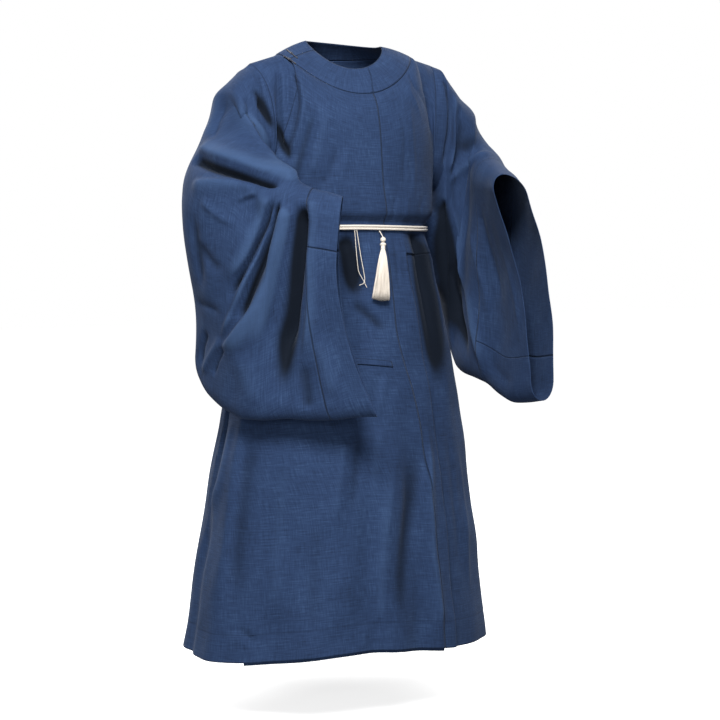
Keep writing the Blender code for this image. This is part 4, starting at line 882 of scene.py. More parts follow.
def linen(name):
    """Slub streaks both ways, broad unevenness of dye, thread bump, sunk seams, a hem line, and painted shade
    and highlight on the creases.
    """
    cloth = Finish(name)
    u, v = cloth.uv("cloth")
    weft_slub = cloth.noise(cloth.vector(u * SLUB_LONG, v * SLUB_THIN), 1.0, 3.0, 0.6)
    warp_slub = cloth.noise(cloth.vector(u * SLUB_THIN + 31, v * SLUB_LONG), 1.0, 3.0, 0.6)
    long_weft = cloth.noise(cloth.vector(u * 9, v * 300 + 17))
    patches = cloth.noise(cloth.vector(u * 9, v * 7, 3.0), 1.0, 3.0, 0.55)
    threads = (u * (math.pi / THREAD_PITCH)).sine().size() + (v * (math.pi / THREAD_PITCH)).sine().size()
    tone = weft_slub * 0.62 + warp_slub * 0.55 + long_weft * 0.25 + patches * 0.35 - 0.39
    fold, seam, hem = (cloth.attribute(label) for label in ("fold", "seam", "hem"))
    sunk, near_seam = cloth.smooth(seam, 0.0027, 0.0004), cloth.smooth(seam, 0.016, 0.001)
    hem_line = cloth.smooth((hem - HEM_BAND).size(), 0.0030, 0.0006)
    pucker = cloth.noise(cloth.vector(u * 18, v * 120), 1.0, 1.0)
    colour = LINEN_DARK
    for share, towards in (
        (cloth.smooth(tone, 0.12, 0.54), LINEN),
        (cloth.smooth(tone, 0.46, 0.96), LINEN_PALE),
        # painted shade: crease hollows and painted hollows darken towards the deepest blue
        (cloth.smooth(fold, -0.05, -1.2) * 0.95, LINEN_SHADE_AND_SEAM),
        # painted highlight: crease ridges turn paler
        (cloth.smooth(fold, 0.2, 1.0) * 0.5, LINEN_PALE),
        (sunk * 0.5, LINEN_SHADE_AND_SEAM),
        (hem_line * 0.2, LINEN_DARK),
    ):
        colour = cloth.blend(share, colour, towards)
    height = (weft_slub + warp_slub) * 0.5 + threads * 0.25
    height = height + near_seam * pucker * 1.6 - sunk * 1.6 - hem_line * 0.4
    cloth.relief(height, 0.00045, 0.55)
    cloth.set(
        Base_Color=colour, Roughness=0.86, Sheen_Weight=0.06, Sheen_Roughness=0.4,
        Sheen_Tint=SHEEN_TINT, Specular_IOR_Level=0.14,
    )
    return cloth.material


linen_cloth = linen("blue_linen")
print("linen has", len(linen_cloth.node_tree.nodes), "nodes")

# %% [markdown]
# ## The body's panels
# The right and left halves each run over the shoulder from the front hem to the back hem and meet at
# the centre back. A wide front is sewn to the left half along the centre front and closes under the
# right arm; a narrow one hangs inside. Panels set in at the sides widen the skirt. Each is a grid of
# columns that run down the body between two of its edges.

# %% Columns and levels
UPPER_STEPS, LOWER_STEP = 60, 0.0078
HEM_TOP, HEM_STEP, HEM_ROLL = ROBE_DROP - HEM_BAND, 0.0015, 0.003
KEPT_DROPS = [  # the belt, the slit and the hem each need a row of points of their own
    *BODY_RINGS[2:4, 0], BELT_DROP, SLIT_DROP, HEM_TOP, HEM_TOP + HEM_STEP, ROBE_DROP - HEM_ROLL, ROBE_DROP,
]
lower_drops = np.concatenate([np.arange(ARMPIT_DROP + LOWER_STEP, ROBE_DROP, LOWER_STEP), KEPT_DROPS])
lower_drops = np.unique(np.round(lower_drops, 5))
LEVELS = np.concatenate([np.linspace(0, 1, UPPER_STEPS + 1), level_of(lower_drops)])
SLIT = int(np.argmin(np.abs(LEVELS - level_of(SLIT_DROP))))
ABOVE_SLIT, BELOW_SLIT = LEVELS[:SLIT + 1], LEVELS[SLIT:]


def edge(column):
    """One column of EDGE_PATHS as a function of the level."""
    return lambda level: edge_angle(column, drop_of(level))


seam, left_edge, closing = edge(1), edge(2), edge(3)


def fixed(angle):
    """The same angle at every level."""
    return lambda level: np.full_like(level, angle)


def between(start, end, columns):
    """Columns at evenly spaced shares between two edges."""
    return lambda level: mix(start(level), end(level), np.linspace(0, 1, columns + 1))


# Edge, edge and number of columns of each part of the two halves
FRONT_SIDE, BACK_SIDE = fixed(COLLAR_SPAN), fixed(180 - COLLAR_SPAN)
RIGHT_FRONT_SIDE, RIGHT_BACK_SIDE = fixed(-COLLAR_SPAN), fixed(COLLAR_SPAN - 180)
RIGHT_FRONT = between(RIGHT_FRONT_SIDE, seam, 62)
RIGHT_SIDE_FRONT = between(fixed(-90), RIGHT_FRONT_SIDE, 22)
RIGHT_SIDE_BACK = between(RIGHT_BACK_SIDE, fixed(-90), 22)
RIGHT_BACK = between(fixed(-180), RIGHT_BACK_SIDE, 60)
LEFT_FACING = between(seam, left_edge, 16)
LEFT_FRONT = between(left_edge, FRONT_SIDE, 34)
LEFT_SIDE_FRONT = between(FRONT_SIDE, fixed(90), 22)
LEFT_SIDE_BACK = between(fixed(90), BACK_SIDE, 22)
LEFT_BACK = between(BACK_SIDE, fixed(180), 60)
print(len(LEVELS), "levels, the slit is number", SLIT)

# %% Panels of the body
FREE_TURN, FREE_BELOW, FREE_ABOVE = 14, 0.06, 0.10  # degrees from the armhole, levels below it and the collar


def no_offset(angle, level):
    """The outer layer."""
    return 0.0


def under_overlap(angle, level):
    """One layer deeper wherever the overlapping front covers it."""
    start, full = LAYER_STEP
    return -LAYER * ease((angle - closing(level) - start) / (full - start))


def body_grid(stations, levels=LEVELS, behind=False, offset=no_offset, **sides):
    """Body points on columns between two edges, moved out by offset, creases and swells.

    Creases and swells fade out towards the collar and the armhole, where the cloth is sewn.
    """
    level = levels[:, None]
    angle = stations(level)
    level = np.broadcast_to(level, angle.shape)
    base, normal = body(angle, level, behind), body_normal(angle, level, behind)
    free = np.maximum(ease((90 - folded(angle, behind)) / FREE_TURN), ease((level - 1) / FREE_BELOW))
    free = free * ease(level / FREE_ABOVE)
    fold = crease_lift(base, normal, BODY_CREASES) * free
    lift = offset(angle, level) + fold + swells(base) * free
    # fold also carries the painted shade of the hollows
    return Grid(base + normal * lift[..., None], normal, fold + crease_lift(base, normal, PAINTED_HOLLOW_SHADE), **sides)


def overlap_columns(level):
    """The right half's own columns, as far as the closing, so that the two layers run parallel."""
    columns = np.concatenate([
        RIGHT_SIDE_BACK(level)[:, :-1], RIGHT_SIDE_FRONT(level)[:, :-1], RIGHT_FRONT(level)
    ], axis=1)
    return np.maximum(columns, closing(level))


def well_inside(angle, level):
    """The inner front sinks below the outer one towards its free edge."""
    below = ease((level - INNER_LEVELS[0]) / (INNER_LEVELS[1] - INNER_LEVELS[0]))
    return -LAYER - INNER_DEPTH * below * ease((angle - seam(level)) / INNER_TURN)


def deeper_at_front(angle, level):
    """The left side panel passes under the left front's edge."""
    depth = mix(LAYER, PLEAT_DEPTH, ease((level - BELOW_SLIT[0]) / PLEAT_LEVELS))
    return -depth * ease((left_edge(level) + PLEAT_SPAN - angle) / PLEAT_SPAN)


print("the cloth lies free of the armhole", FREE_TURN, "degrees from it")

# %% The two halves
right_front = body_grid(RIGHT_FRONT, offset=under_overlap, hem=True)
right_front.points[-1, :, 2] -= INNER_SAG  # the covered layer hangs a little lower at the hem
right_half = cloth_panel("right_half", [
    right_front,
    body_grid(RIGHT_SIDE_FRONT, ABOVE_SLIT, offset=under_overlap),
    body_grid(RIGHT_SIDE_BACK, ABOVE_SLIT, True, under_overlap),
    body_grid(RIGHT_BACK, LEVELS, True, under_overlap, seams=("left",), across_from="left", hem=True),
])
left_half = cloth_panel("left_half", [
    body_grid(LEFT_FACING, seams=("left",), across_from="left", hem=True),
    body_grid(LEFT_FRONT, ABOVE_SLIT),
    body_grid(LEFT_SIDE_FRONT, ABOVE_SLIT),
    body_grid(LEFT_SIDE_BACK, ABOVE_SLIT, True),
    body_grid(LEFT_BACK, LEVELS, True, seams=("right",), across_from="right", hem=True),
])

# %% The fronts and the side panels
INNER_COLUMNS = between(seam, fixed(INNER_EDGE), 40)
RIGHT_PANEL_COLUMNS = between(RIGHT_BACK_SIDE, RIGHT_FRONT_SIDE, 44)
LEFT_PANEL_COLUMNS = between(lambda level: left_edge(level) - PLEAT_LAP, BACK_SIDE, 78)
overlapping_front = cloth_panel("overlapping_front", [
    body_grid(overlap_columns, seams=("left", "right"), across_from="right", hem=True),
])
inner_front = cloth_panel("inner_front", [body_grid(INNER_COLUMNS, offset=well_inside, hem=True)])
right_side_panel = cloth_panel("right_side_panel", [
    body_grid(RIGHT_PANEL_COLUMNS, BELOW_SLIT, True, under_overlap, seams=("left",), hem=True),
])
left_side_panel = cloth_panel("left_side_panel", [
    body_grid(LEFT_PANEL_COLUMNS, BELOW_SLIT, False, deeper_at_front, seams=("right",), hem=True),
])

# %% [markdown]
# ## The collar
# The round collar is one bias-cut band, about six centimetres deep, sewn round the neck of the body.
# It crosses the chest in front, lies on both shoulders and closes at the right one.

# %% Collar band
COLLAR_START, COLLAR_ENDS_GAP = -75.0, 0.1  # degrees: where the band starts, and its gap at each end
COLLAR_GRID, COLLAR_DEPTH = (240, 15), 0.997  # points round and across; share of the band's depth
COLLAR_THICKNESS, COLLAR_LIFT, COLLAR_RIPPLE, COLLAR_RIPPLES = 0.0018, 0.0004, 0.0005, 9
COLLAR_RADIUS = 0.11  # turns degrees along the band into a length
COLLAR_PIECING = (9.5, 1.0)  # the band is pieced here, a little left of the centre front


def collar_surface(angle, across):
    """The band between its two edges, bulged by 4 x (1 - x) of its crown."""
    return collar_edge(angle, across) + stack(0, 0, COLLAR_CROWN * 4 * across * (1 - across))


def collar_normal(angle, across):
    """Cross product of the slopes across the band and round the neck."""
    round_neck = collar_surface(angle + 1, across) - collar_surface(angle - 1, across)
    return unit(np.cross(collar_edge(angle, 1.0) - collar_edge(angle, 0.0), round_neck))


angle = COLLAR_START + np.linspace(COLLAR_ENDS_GAP, 360 - COLLAR_ENDS_GAP, COLLAR_GRID[0])[:, None]
across = np.linspace(0, COLLAR_DEPTH, COLLAR_GRID[1])[None, :]
normals = collar_normal(angle, across)
ripple = COLLAR_RIPPLE * np.sin(np.radians(angle * COLLAR_RIPPLES)) * np.sin(np.pi * across)
points = collar_surface(angle, across) + normals * (COLLAR_LIFT + ripple)[..., None]
band = Grid(points, normals, seams=("left", "right", "top", "bottom"))
piecing = np.abs(np.radians(angle - mix(*COLLAR_PIECING, across))) * COLLAR_RADIUS
band.seam = np.minimum(band.seam, piecing)
collar_band = cloth_panel("collar_band", [band], COLLAR_THICKNESS)

# %% [markdown]
# ## The sleeves
# Each sleeve is a deep flat tube. At the armhole it starts on the body's own edge; then it is a row
# of loops, each given by its highest and lowest points, its half thickness before and behind the arm,
# and the way the sleeve runs there. A second piece of cloth makes the cuff end, in two parts.

# %% Sleeve sections
# top x, y, z; bottom x, y, z; front, back and hem half thickness; heading; bow and sway
RIGHT_SECTIONS = np.array([
    (-0.252, 0.004, -0.070, -0.246, 0.008, -0.328, 0.068, 0.068, 0.056, 182, 0.00, 0.00),
    (-0.292, 0.000, -0.124, -0.266, 0.030, -0.480, 0.055, 0.085, 0.050, 188, 0.00, 0.00),
    (-0.284, -0.042, -0.174, -0.294, 0.045, -0.645, 0.040, 0.122, 0.040, 210, 0.00, 0.00),
    (-0.270, -0.088, -0.224, -0.330, 0.034, -0.758, 0.030, 0.148, 0.030, 238, 0.00, 0.00),
    (-0.254, -0.138, -0.274, -0.308, -0.112, -0.828, 0.030, 0.085, 0.026, 278, 0.00, 0.00),
    (-0.222, -0.192, -0.316, -0.226, -0.222, -0.826, 0.040, 0.055, 0.026, 303, -0.01, 0.00),
    (-0.162, -0.286, -0.350, -0.112, -0.345, -0.813, 0.043, 0.043, 0.024, 328, -0.04, 0.00),
])
LEFT_SECTIONS = np.array([
    (0.254, 0.004, -0.046, 0.246, 0.008, -0.328, 0.070, 0.070, 0.056, -2, 0.00, 0.000),
    (0.298, 0.004, -0.098, 0.266, 0.030, -0.470, 0.072, 0.072, 0.050, -4, 0.00, 0.000),
    (0.358, -0.006, -0.154, 0.300, 0.042, -0.630, 0.068, 0.068, 0.040, -26, 0.00, 0.000),
    (0.362, -0.050, -0.220, 0.322, 0.010, -0.745, 0.060, 0.060, 0.030, -62, 0.00, 0.006),
    (0.330, -0.120, -0.258, 0.318, -0.125, -0.780, 0.054, 0.054, 0.030, -88, 0.00, 0.014),
    (0.292, -0.205, -0.280, 0.314, -0.250, -0.814, 0.048, 0.048, 0.030, -97, 0.00, 0.022),
    (0.254, -0.282, -0.297, 0.311, -0.352, -0.798, 0.041, 0.041, 0.029, -98, 0.00, 0.027),
])

# side, from section and share, to section and share, width, depth
RIGHT_FOLDS = np.array([
    (-1, 4.2, 0.05, 5.1, 0.88, 0.034, -0.016),
    (-1, 3.0, 0.20, 4.0, 0.75, 0.040, 0.010),
    (-1, 3.6, 0.10, 4.6, 0.20, 0.030, -0.010),
    (1, 0.3, 0.10, 1.2, 0.55, 0.035, -0.012),
    (1, 0.9, 0.10, 1.8, 0.45, 0.035, 0.010),
    (-1, 0.8, 0.30, 2.0, 0.80, 0.045, -0.012),
])
LEFT_FOLDS = np.array([
    (1, 4.8, 0.20, 4.6, 0.90, 0.040, -0.010),
    (1, 3.6, 0.15, 3.8, 0.85, 0.035, 0.010),
    (1, 0.3, 0.10, 1.2, 0.55, 0.035, -0.012),
    (-1, 3.2, 0.20, 4.2, 0.80, 0.045, -0.010),
    (-1, 0.8, 0.30, 2.0, 0.80, 0.045, -0.012),
])
FOLD_SCALE = np.array((0.09, 0.50))  # metres to a section and to its whole depth
TOP_ROUNDING, HEM_ROUNDING = 1.1, 1.6
FOLD_ENDS = 0.15  # a fold's least fade, at its two ends
HALF_ROUND = 12  # steps from the sleeve's top to its bottom
LAP_SHARES, LAP_GAP = (0.6, 0.8), 0.002  # where the sleeve laps over the body at the armpit, and its gap
RIGHT_JOIN, LEFT_JOIN = 5.42, 4.0  # sections: where the cuff end is sewn on
RIGHT_PIECING, LEFT_PIECING = 4.0, 8.5  # steps round: where the cuff end is pieced
RINGS = 34  # rings to a section
FINE, COARSE = 150, 60  # columns on the side that faces out, and on the hidden one
print("right sleeve", len(RIGHT_SECTIONS), "sections, left", len(LEFT_SECTIONS))

# %% Sleeve functions
def sleeve_folds(folds, run, share, faces_forward):
    """Sum of depth * fade * exp(-(distance from the fold's line / width)^2), on one side each."""
    place = np.stack(np.broadcast_arrays(run, share), axis=-1) * FOLD_SCALE
    total = np.zeros_like(run + share)
    for side, run_a, share_a, run_b, share_b, width, depth in folds:
        start, end = np.array((run_a, share_a)) * FOLD_SCALE, np.array((run_b, share_b)) * FOLD_SCALE
        line = end - start
        at = np.clip(((place - start) * line).sum(-1) / (line**2).sum(), 0, 1)
        distance = np.linalg.norm(place - start - at[..., None] * line, axis=-1)
        fade = np.sqrt(np.clip(4 * at * (1 - at), FOLD_ENDS, 1) * np.sin(np.pi * share))
        total += np.where(faces_forward == (side > 0), depth * fade * np.exp(-((distance / width) ** 2)), 0)
    return total


def section(table, folds, run, share, arm, faces_forward):
    """A flat loop: round at the top over the arm, thin at the bottom where the cloth hangs."""
    top_x, top_y, top_z, low_x, low_y, low_z, front, back, hem, heading, bow, sway = (
        through(np.arange(len(table)), column, run) for column in table.T
    )
    top, bottom = stack(top_x, top_y, top_z), stack(low_x, low_y, low_z)
    height = np.linalg.norm(bottom - top, axis=-1)
    heading = np.radians(heading)
    over_arm = np.where(faces_forward, front, back)
    round_top = np.clip(share * height / (TOP_ROUNDING * over_arm), 0, 1)
    round_bottom = np.clip((1 - share) * height / (HEM_ROUNDING * hem), 0, 1)
    half = mix(over_arm, hem, ease(share))
    half = half * np.sqrt(1 - (1 - round_top) ** 2) * np.sqrt(1 - (1 - round_bottom) ** 2)
    half = half + sleeve_folds(folds, run, share, faces_forward)
    middle = np.sin(np.pi * share)
    across = half * np.where(faces_forward, -arm, arm) + sway * middle
    sideways = stack(-np.sin(heading), np.cos(heading), 0) * across[..., None]
    forward = stack(np.cos(heading), np.sin(heading), 0) * (bow * middle)[..., None]
    return mix(top, bottom, share[..., None]) + sideways + forward


def round_place(step):
    """How far down the sleeve a step round it lies, and whether it is on the side facing forward."""
    step = step % (2 * HALF_ROUND)
    return 1 - np.abs(1 - step / HALF_ROUND), step <= HALF_ROUND


def sleeve_point(table, folds, arm, run, step):
    """The body's armhole edge at run -1, blended into the first section at run 0."""
    down, faces_forward = round_place(step)
    edge = body(np.full_like(down, arm * 90.0), down, ~faces_forward)
    share = (1 - np.cos(np.pi * down)) / 2
    tube = section(table, folds, np.maximum(run, 0), share, arm, faces_forward)
    return mix(edge, tube, np.clip(run + 1, 0, 1)[..., None])


RUN_STEP, TURN_STEP = 0.04, 0.1  # how far to either side of a point its slopes are read
SLEEVE_FREE, SLEEVE_LIFT = 0.8, 0.0002  # sections until creases are whole; height above the solid


def sleeve_grid(table, folds, arm, creases, run, step, **sides):
    """Sleeve points and normals, with the creases; the first ring laps over the body at the armpit."""
    run, step = np.broadcast_arrays(run[:, None].astype(float), step[None, :].astype(float))
    base = sleeve_point(table, folds, arm, run, step)
    ahead, behind = np.minimum(run + RUN_STEP, len(table) - 1), np.maximum(run - RUN_STEP, -1)
    point = partial(sleeve_point, table, folds, arm)
    along = point(ahead, step) - point(behind, step)
    around = point(run, step + TURN_STEP) - point(run, step - TURN_STEP)
    normal = unit(np.cross(around, along)) * arm
    down, _ = round_place(step)
    start, full = LAP_SHARES
    lap = ease((down - start) / (full - start)) * (SOLID_CLOTH + LAP_GAP) * np.clip(-run, 0, 1)
    free = ease((run + 1) / SLEEVE_FREE)
    fold = crease_lift(base, normal, creases) * free
    lift = fold + swells(base) * free + lap + SLEEVE_LIFT
    # fold also carries the painted shade of the hollows
    return Grid(base + normal * lift[..., None], normal, fold + crease_lift(base, normal, PAINTED_HOLLOW_SHADE), **sides)


def sleeve(name, table, folds, arm, creases, join, piecing):
    """The sleeve as far as its join, then the cuff end's upper and lower parts."""
    last = len(table) - 1
    whole = 2 * HALF_ROUND
    runs = np.linspace(-1, join, round((join + 1) * RINGS) + 1)
    ends = np.linspace(join, last, round((last - join) * RINGS) + 1)
    halves = (FINE, COARSE) if arm > 0 else (COARSE, FINE)
    forward = np.linspace(0, HALF_ROUND, halves[0] + 1)
    other = np.linspace(HALF_ROUND, whole, halves[1] + 1)
    steps = np.unique(np.concatenate([forward, other, (piecing, whole - piecing)]))
    high = np.concatenate([steps[steps >= whole - piecing][:-1] - whole, steps[steps <= piecing]])
    low = steps[(steps >= piecing) & (steps <= whole - piecing)]
    return [
        cloth_panel(f"{name}_{part}", [sleeve_grid(table, folds, arm, creases, rings, places, seams=sewn)])
        for part, rings, places, sewn in (
            ("sleeve", runs, steps, ("top", "bottom")),
            ("cuff_upper", ends, high, ("top", "left", "right")),
            ("cuff_lower", ends, low, ("top", "left", "right")),
        )
    ]


right_sleeve, right_cuff_upper, right_cuff_lower = sleeve(
    "right", RIGHT_SECTIONS, RIGHT_FOLDS, -1, RIGHT_SLEEVE_CREASES, RIGHT_JOIN, RIGHT_PIECING)
left_sleeve, left_cuff_upper, left_cuff_lower = sleeve(
    "left", LEFT_SECTIONS, LEFT_FOLDS, 1, LEFT_SLEEVE_CREASES, LEFT_JOIN, LEFT_PIECING)

# %% [markdown]
# ## The pocket's lip
# A slit pocket in the overlapping front is finished with a narrow folded lip, stitched at its ends.

# %% Pocket lip
WELT_FROM, WELT_TO = 2.7 / 7, 6.2 / 7  # shares of that front, from its side line to the seam
WELT_DROPS = (0.708, 0.722)
WELT_SLOPE, WELT_GRID = 0.012, (40, 9)  # fall to the seam; points along and across
WELT_LIFT, WELT_BULGE, WELT_THICKNESS = 0.0013, 0.0012, 0.0008


def on_body(angle, level, distance, creases=True):
    """Points of the outer cloth moved out along its normal, with the cloth's creases or without."""
    angle, level = np.broadcast_arrays(np.asarray(angle, float), np.asarray(level, float))
    behind = np.abs(angle) > 90
    base, normal = body(angle, level, behind), body_normal(angle, level, behind)
    lift = crease_lift(base, normal, BODY_CREASES) + swells(base) if creases else np.zeros(angle.shape)
    return base + normal * (distance + lift)[..., None], normal


share = np.linspace(0, 1, WELT_GRID[0])[None, :]
down = np.linspace(0, 1, WELT_GRID[1])[:, None]
level = level_of(mix(*WELT_DROPS, down) + WELT_SLOPE * share)
angle = mix(-COLLAR_SPAN, seam(level), mix(WELT_FROM, WELT_TO, share))
bulge = WELT_BULGE * np.sqrt(np.clip(1 - (2 * down - 1) ** 2, 0, 1)) + 0 * share
lip = Grid(*on_body(angle, level, WELT_LIFT + bulge), seams=("left", "right", "top", "bottom"))
pocket = cloth_panel("pocket_lip", [lip], WELT_THICKNESS)

# %% [markdown]
# ## Cream silk
# Belt, bead and tassel are one cream silk. The belt is two cords, each laid from plies that turn round
# one another; the tassel's strands are fine threads with a soft shine along them.

# %% Cream finishes
CREAM, CREAM_SHADE = (0.81, 0.75, 0.67, 1.0), (0.44, 0.37, 0.30, 1.0)
STRAND_SHADE, KNOT_SHADE = (0.56, 0.49, 0.41, 1.0), (0.62, 0.55, 0.46, 1.0)
BELT_PITCH, BELT_PLIES = 0.011, 3  # length of one turn of the plies, and their number
STRAND_STREAKS = 90


def laid(cream):
    """Plies that turn round the cord, with fine fibres: tone, and height."""
    across, along = cream.uv("cord")
    ply = (along * (math.pi * BELT_PLIES / BELT_PITCH) + across * (math.pi * BELT_PLIES)).sine().size()
    fibres = cream.noise(cream.vector(across * 6 + along * 500, along * 300), 1.0, 3.0)
    return cream.smooth(ply * 0.8 + fibres * 0.4, 0.2, 0.75), ply + fibres * 0.2


def streaked(cream):
    """Streaks along the strands: tone, and height."""
    across, along = cream.uv("cord")
    fibres = cream.noise(cream.vector(across * STRAND_STREAKS, along * 8), 1.0, 3.0)
    return cream.smooth(fibres, 0.35, 0.62), fibres


def plain(cream):
    """Fine fibres in every direction: tone, and height."""
    fibres = cream.noise(cream.node("ShaderNodeTexCoord", out=3), 900.0)
    return cream.smooth(fibres, 0.3, 0.7), fibres


def silk(name, pattern, shade, relief, shine=0.5):
    """Cream silk with one of the patterns above; relief is the height of its bumps."""
    cream = Finish(name)
    tone, height = pattern(cream)
    cream.relief(height, relief, 0.6)
    colour = cream.blend(tone, shade, CREAM)
    cream.set(Base_Color=colour, Roughness=shine, Sheen_Weight=0.3, Specular_IOR_Level=0.4)
    return cream.material


belt_silk = silk("belt_cord_silk", laid, CREAM_SHADE, 0.0008)
tassel_silk = silk("tassel_strand_silk", streaked, STRAND_SHADE, 0.0004, 0.42)
plain_silk = silk("knot_silk", plain, KNOT_SHADE, 0.0002)
print("silk finishes:", belt_silk.name, tassel_silk.name, plain_silk.name)

# %% Rings of points to a mesh
POINT_MERGE = 2e-6  # an end drawn to a point is merged within this
PLY_DEPTH = 0.14  # share of the radius between two plies


def ringed(name, rings, material, uv=None, ends="flat"):
    """A closed mesh through rings of points; its ends are flat, joined or drawn to points."""
    at = np.arange(rings[..., 0].size).reshape(rings.shape[:-1])
    if ends == "joined":
        at = np.concatenate([at, at[:1]])
    after = np.roll(at, -1, -1)
    walls = np.stack([at[..., :-1, :], after[..., :-1, :], after[..., 1:, :], at[..., 1:, :]], axis=-1)
    faces = walls.reshape(-1, 4).tolist()
    if ends == "flat":
        for cap in (at[..., 0, ::-1], at[..., -1, :]):
            faces += cap.reshape(-1, at.shape[-1]).tolist()
    obj = mesh_object(name, rings, faces, material, uv)
    finish_mesh(obj.data, POINT_MERGE if ends == "points" else 0.0)
    return obj


def tube(name, path, radius, sides, material, closed=False, plies=0, pitch=1.0):
    """A circle, or a ring of plies, carried along a path.

    At each point two directions square to the path span the circle; plies multiply its radius by
    1 - depth + depth * |cos(plies * (angle + turn along the path) / 2)|.
    """
    ahead = np.roll(path, -1, 0) - np.roll(path, 1, 0) if closed else np.gradient(path, axis=0)
    along = unit(ahead)
    level = unit(np.cross(along, np.broadcast_to((0.0, 0.0, 1.0), along.shape)) + 1e-9)
    run = lengths_along(path, 0)[:, None]
    turn = np.linspace(0, 2 * np.pi, sides, endpoint=False)[None, :]
    reach = np.asarray(radius, float).reshape(-1, 1) + 0 * (run + turn)
    if plies:
        twisted = plies * (turn + 2 * np.pi * run / pitch) / 2
        reach *= 1 - PLY_DEPTH + PLY_DEPTH * np.abs(np.cos(twisted))
    other = np.cross(level, along)
    ring = level[:, None] * np.cos(turn)[..., None] + other[:, None] * np.sin(turn)[..., None]
    uv = stack(turn / (2 * np.pi), run)
    return ringed(name, path[:, None] + ring * reach[..., None], material, uv, "joined" if closed else "flat")


print("plies are", PLY_DEPTH, "of a cord's radius deep")

# %% The two belt cords
CORD_RADIUS, CORD_CLEAR, CORD_APART = 0.0029, 0.0006, 0.0004
CORD_POINTS, CORD_SIDES = 720, 14

belt = []
for name, side in (("belt_upper_cord", -1), ("belt_lower_cord", 1)):
    angle = np.linspace(-180, 180, CORD_POINTS, endpoint=False)
    drop = np.full_like(angle, BELT_DROP + side * (CORD_RADIUS + CORD_APART / 2))
    path, _ = on_body(angle, level_of(drop), SOLID_CLOTH / 2 + CORD_RADIUS + CORD_CLEAR, creases=False)
    belt.append(tube(name, path, CORD_RADIUS, CORD_SIDES, belt_silk, True, BELT_PLIES, BELT_PITCH))
    around = float(np.linalg.norm(np.roll(path, -1, 0) - path, axis=1).sum())
    print(name, "goes", round(around, 3), "m round the waist")

# %% [markdown]
# ## The tassel
# A short cord drops from the belt through a bead to the tassel's bound head. Its skirt is hundreds of
# fine strands that leave the head together and fan out as they hang; here each strand is a four-sided
# tube, and all of them are worked out at once as one array.

# %% Bead and head
TASSEL_HEAD = np.array((0.00577, -0.17035, -0.44809))
TASSEL_FOOT = np.array((-0.01485, -0.20304, -0.57927))
TASSEL_CORD_TOP = np.array((0.00531, -0.15445, -0.42197))
BEAD_RADIUS, BEAD_GAP, BEAD_RIBS = 0.006, 0.0006, (9, 0.02)
HEAD_PROFILE = np.array([
    (0.0, 0.0), (0.0002, 0.0022), (0.0012, 0.0046), (0.0026, 0.0064), (0.0046, 0.0070), (0.0066, 0.0066),
    (0.0080, 0.0052), (0.0092, 0.0044), (0.0102, 0.0049), (0.0112, 0.0045), (0.0122, 0.0050),
    (0.0132, 0.0046), (0.0142, 0.0051), (0.0152, 0.0047), (0.0165, 0.0044), (0.0166, 0.0),
])
HEAD_RIBS = (12, 0.03)
DOWN = unit(TASSEL_FOOT - TASSEL_HEAD)
SIDEWAYS = unit(np.cross(DOWN, (0.0, 1.0, 0.0)))
FORWARD = unit(np.cross(SIDEWAYS, DOWN))


def turned(name, start, profile, sides, ribs):
    """A profile of (distance down, radius r) turned round the tassel's line, ribbed as r (1 + a cos n t)."""
    turn = np.linspace(0, 2 * np.pi, sides, endpoint=False)[None, :]
    radius = profile[:, 1:] * (1 + ribs[1] * np.cos(ribs[0] * turn))
    round_line = SIDEWAYS * np.cos(turn)[..., None] - FORWARD * np.sin(turn)[..., None]
    rings = start + DOWN * profile[:, :1, None] + radius[..., None] * round_line
    return ringed(name, rings, plain_silk, ends="points")


t = np.linspace(0, np.pi, 21)
ball = BEAD_RADIUS * np.column_stack([1 - np.cos(t), np.sin(t)])
bead_top = TASSEL_HEAD - DOWN * (2 * BEAD_RADIUS + BEAD_GAP)
bead = turned("bead", bead_top, ball, 36, BEAD_RIBS)
head = turned("tassel_head", TASSEL_HEAD, HEAD_PROFILE, 32, HEAD_RIBS)
print("bead and head hang", round(float(TASSEL_CORD_TOP[2] - bead_top[2]) * 1000), "mm below the belt")

# %% Strands of the tassel
STRANDS, STRAND_POINTS, STRAND_SIDES = 620, 9, 4
STRAND_RADIUS, STRAND_TAPER = 0.00042, 0.35
HEAD_HEIGHT, TASSEL_DROP = 0.0158, 0.118
HEAD_REACH, TASSEL_REACH, TASSEL_FLATNESS = 0.0042, 0.0215, 0.62  # radii above and below; depth to width
GOLDEN_ANGLE = 2.399963
WAVE, LEAN = 0.0005, -0.004
UNEVEN, SHORTER_OUTSIDE = 0.05, 0.03  # shares of a strand's length


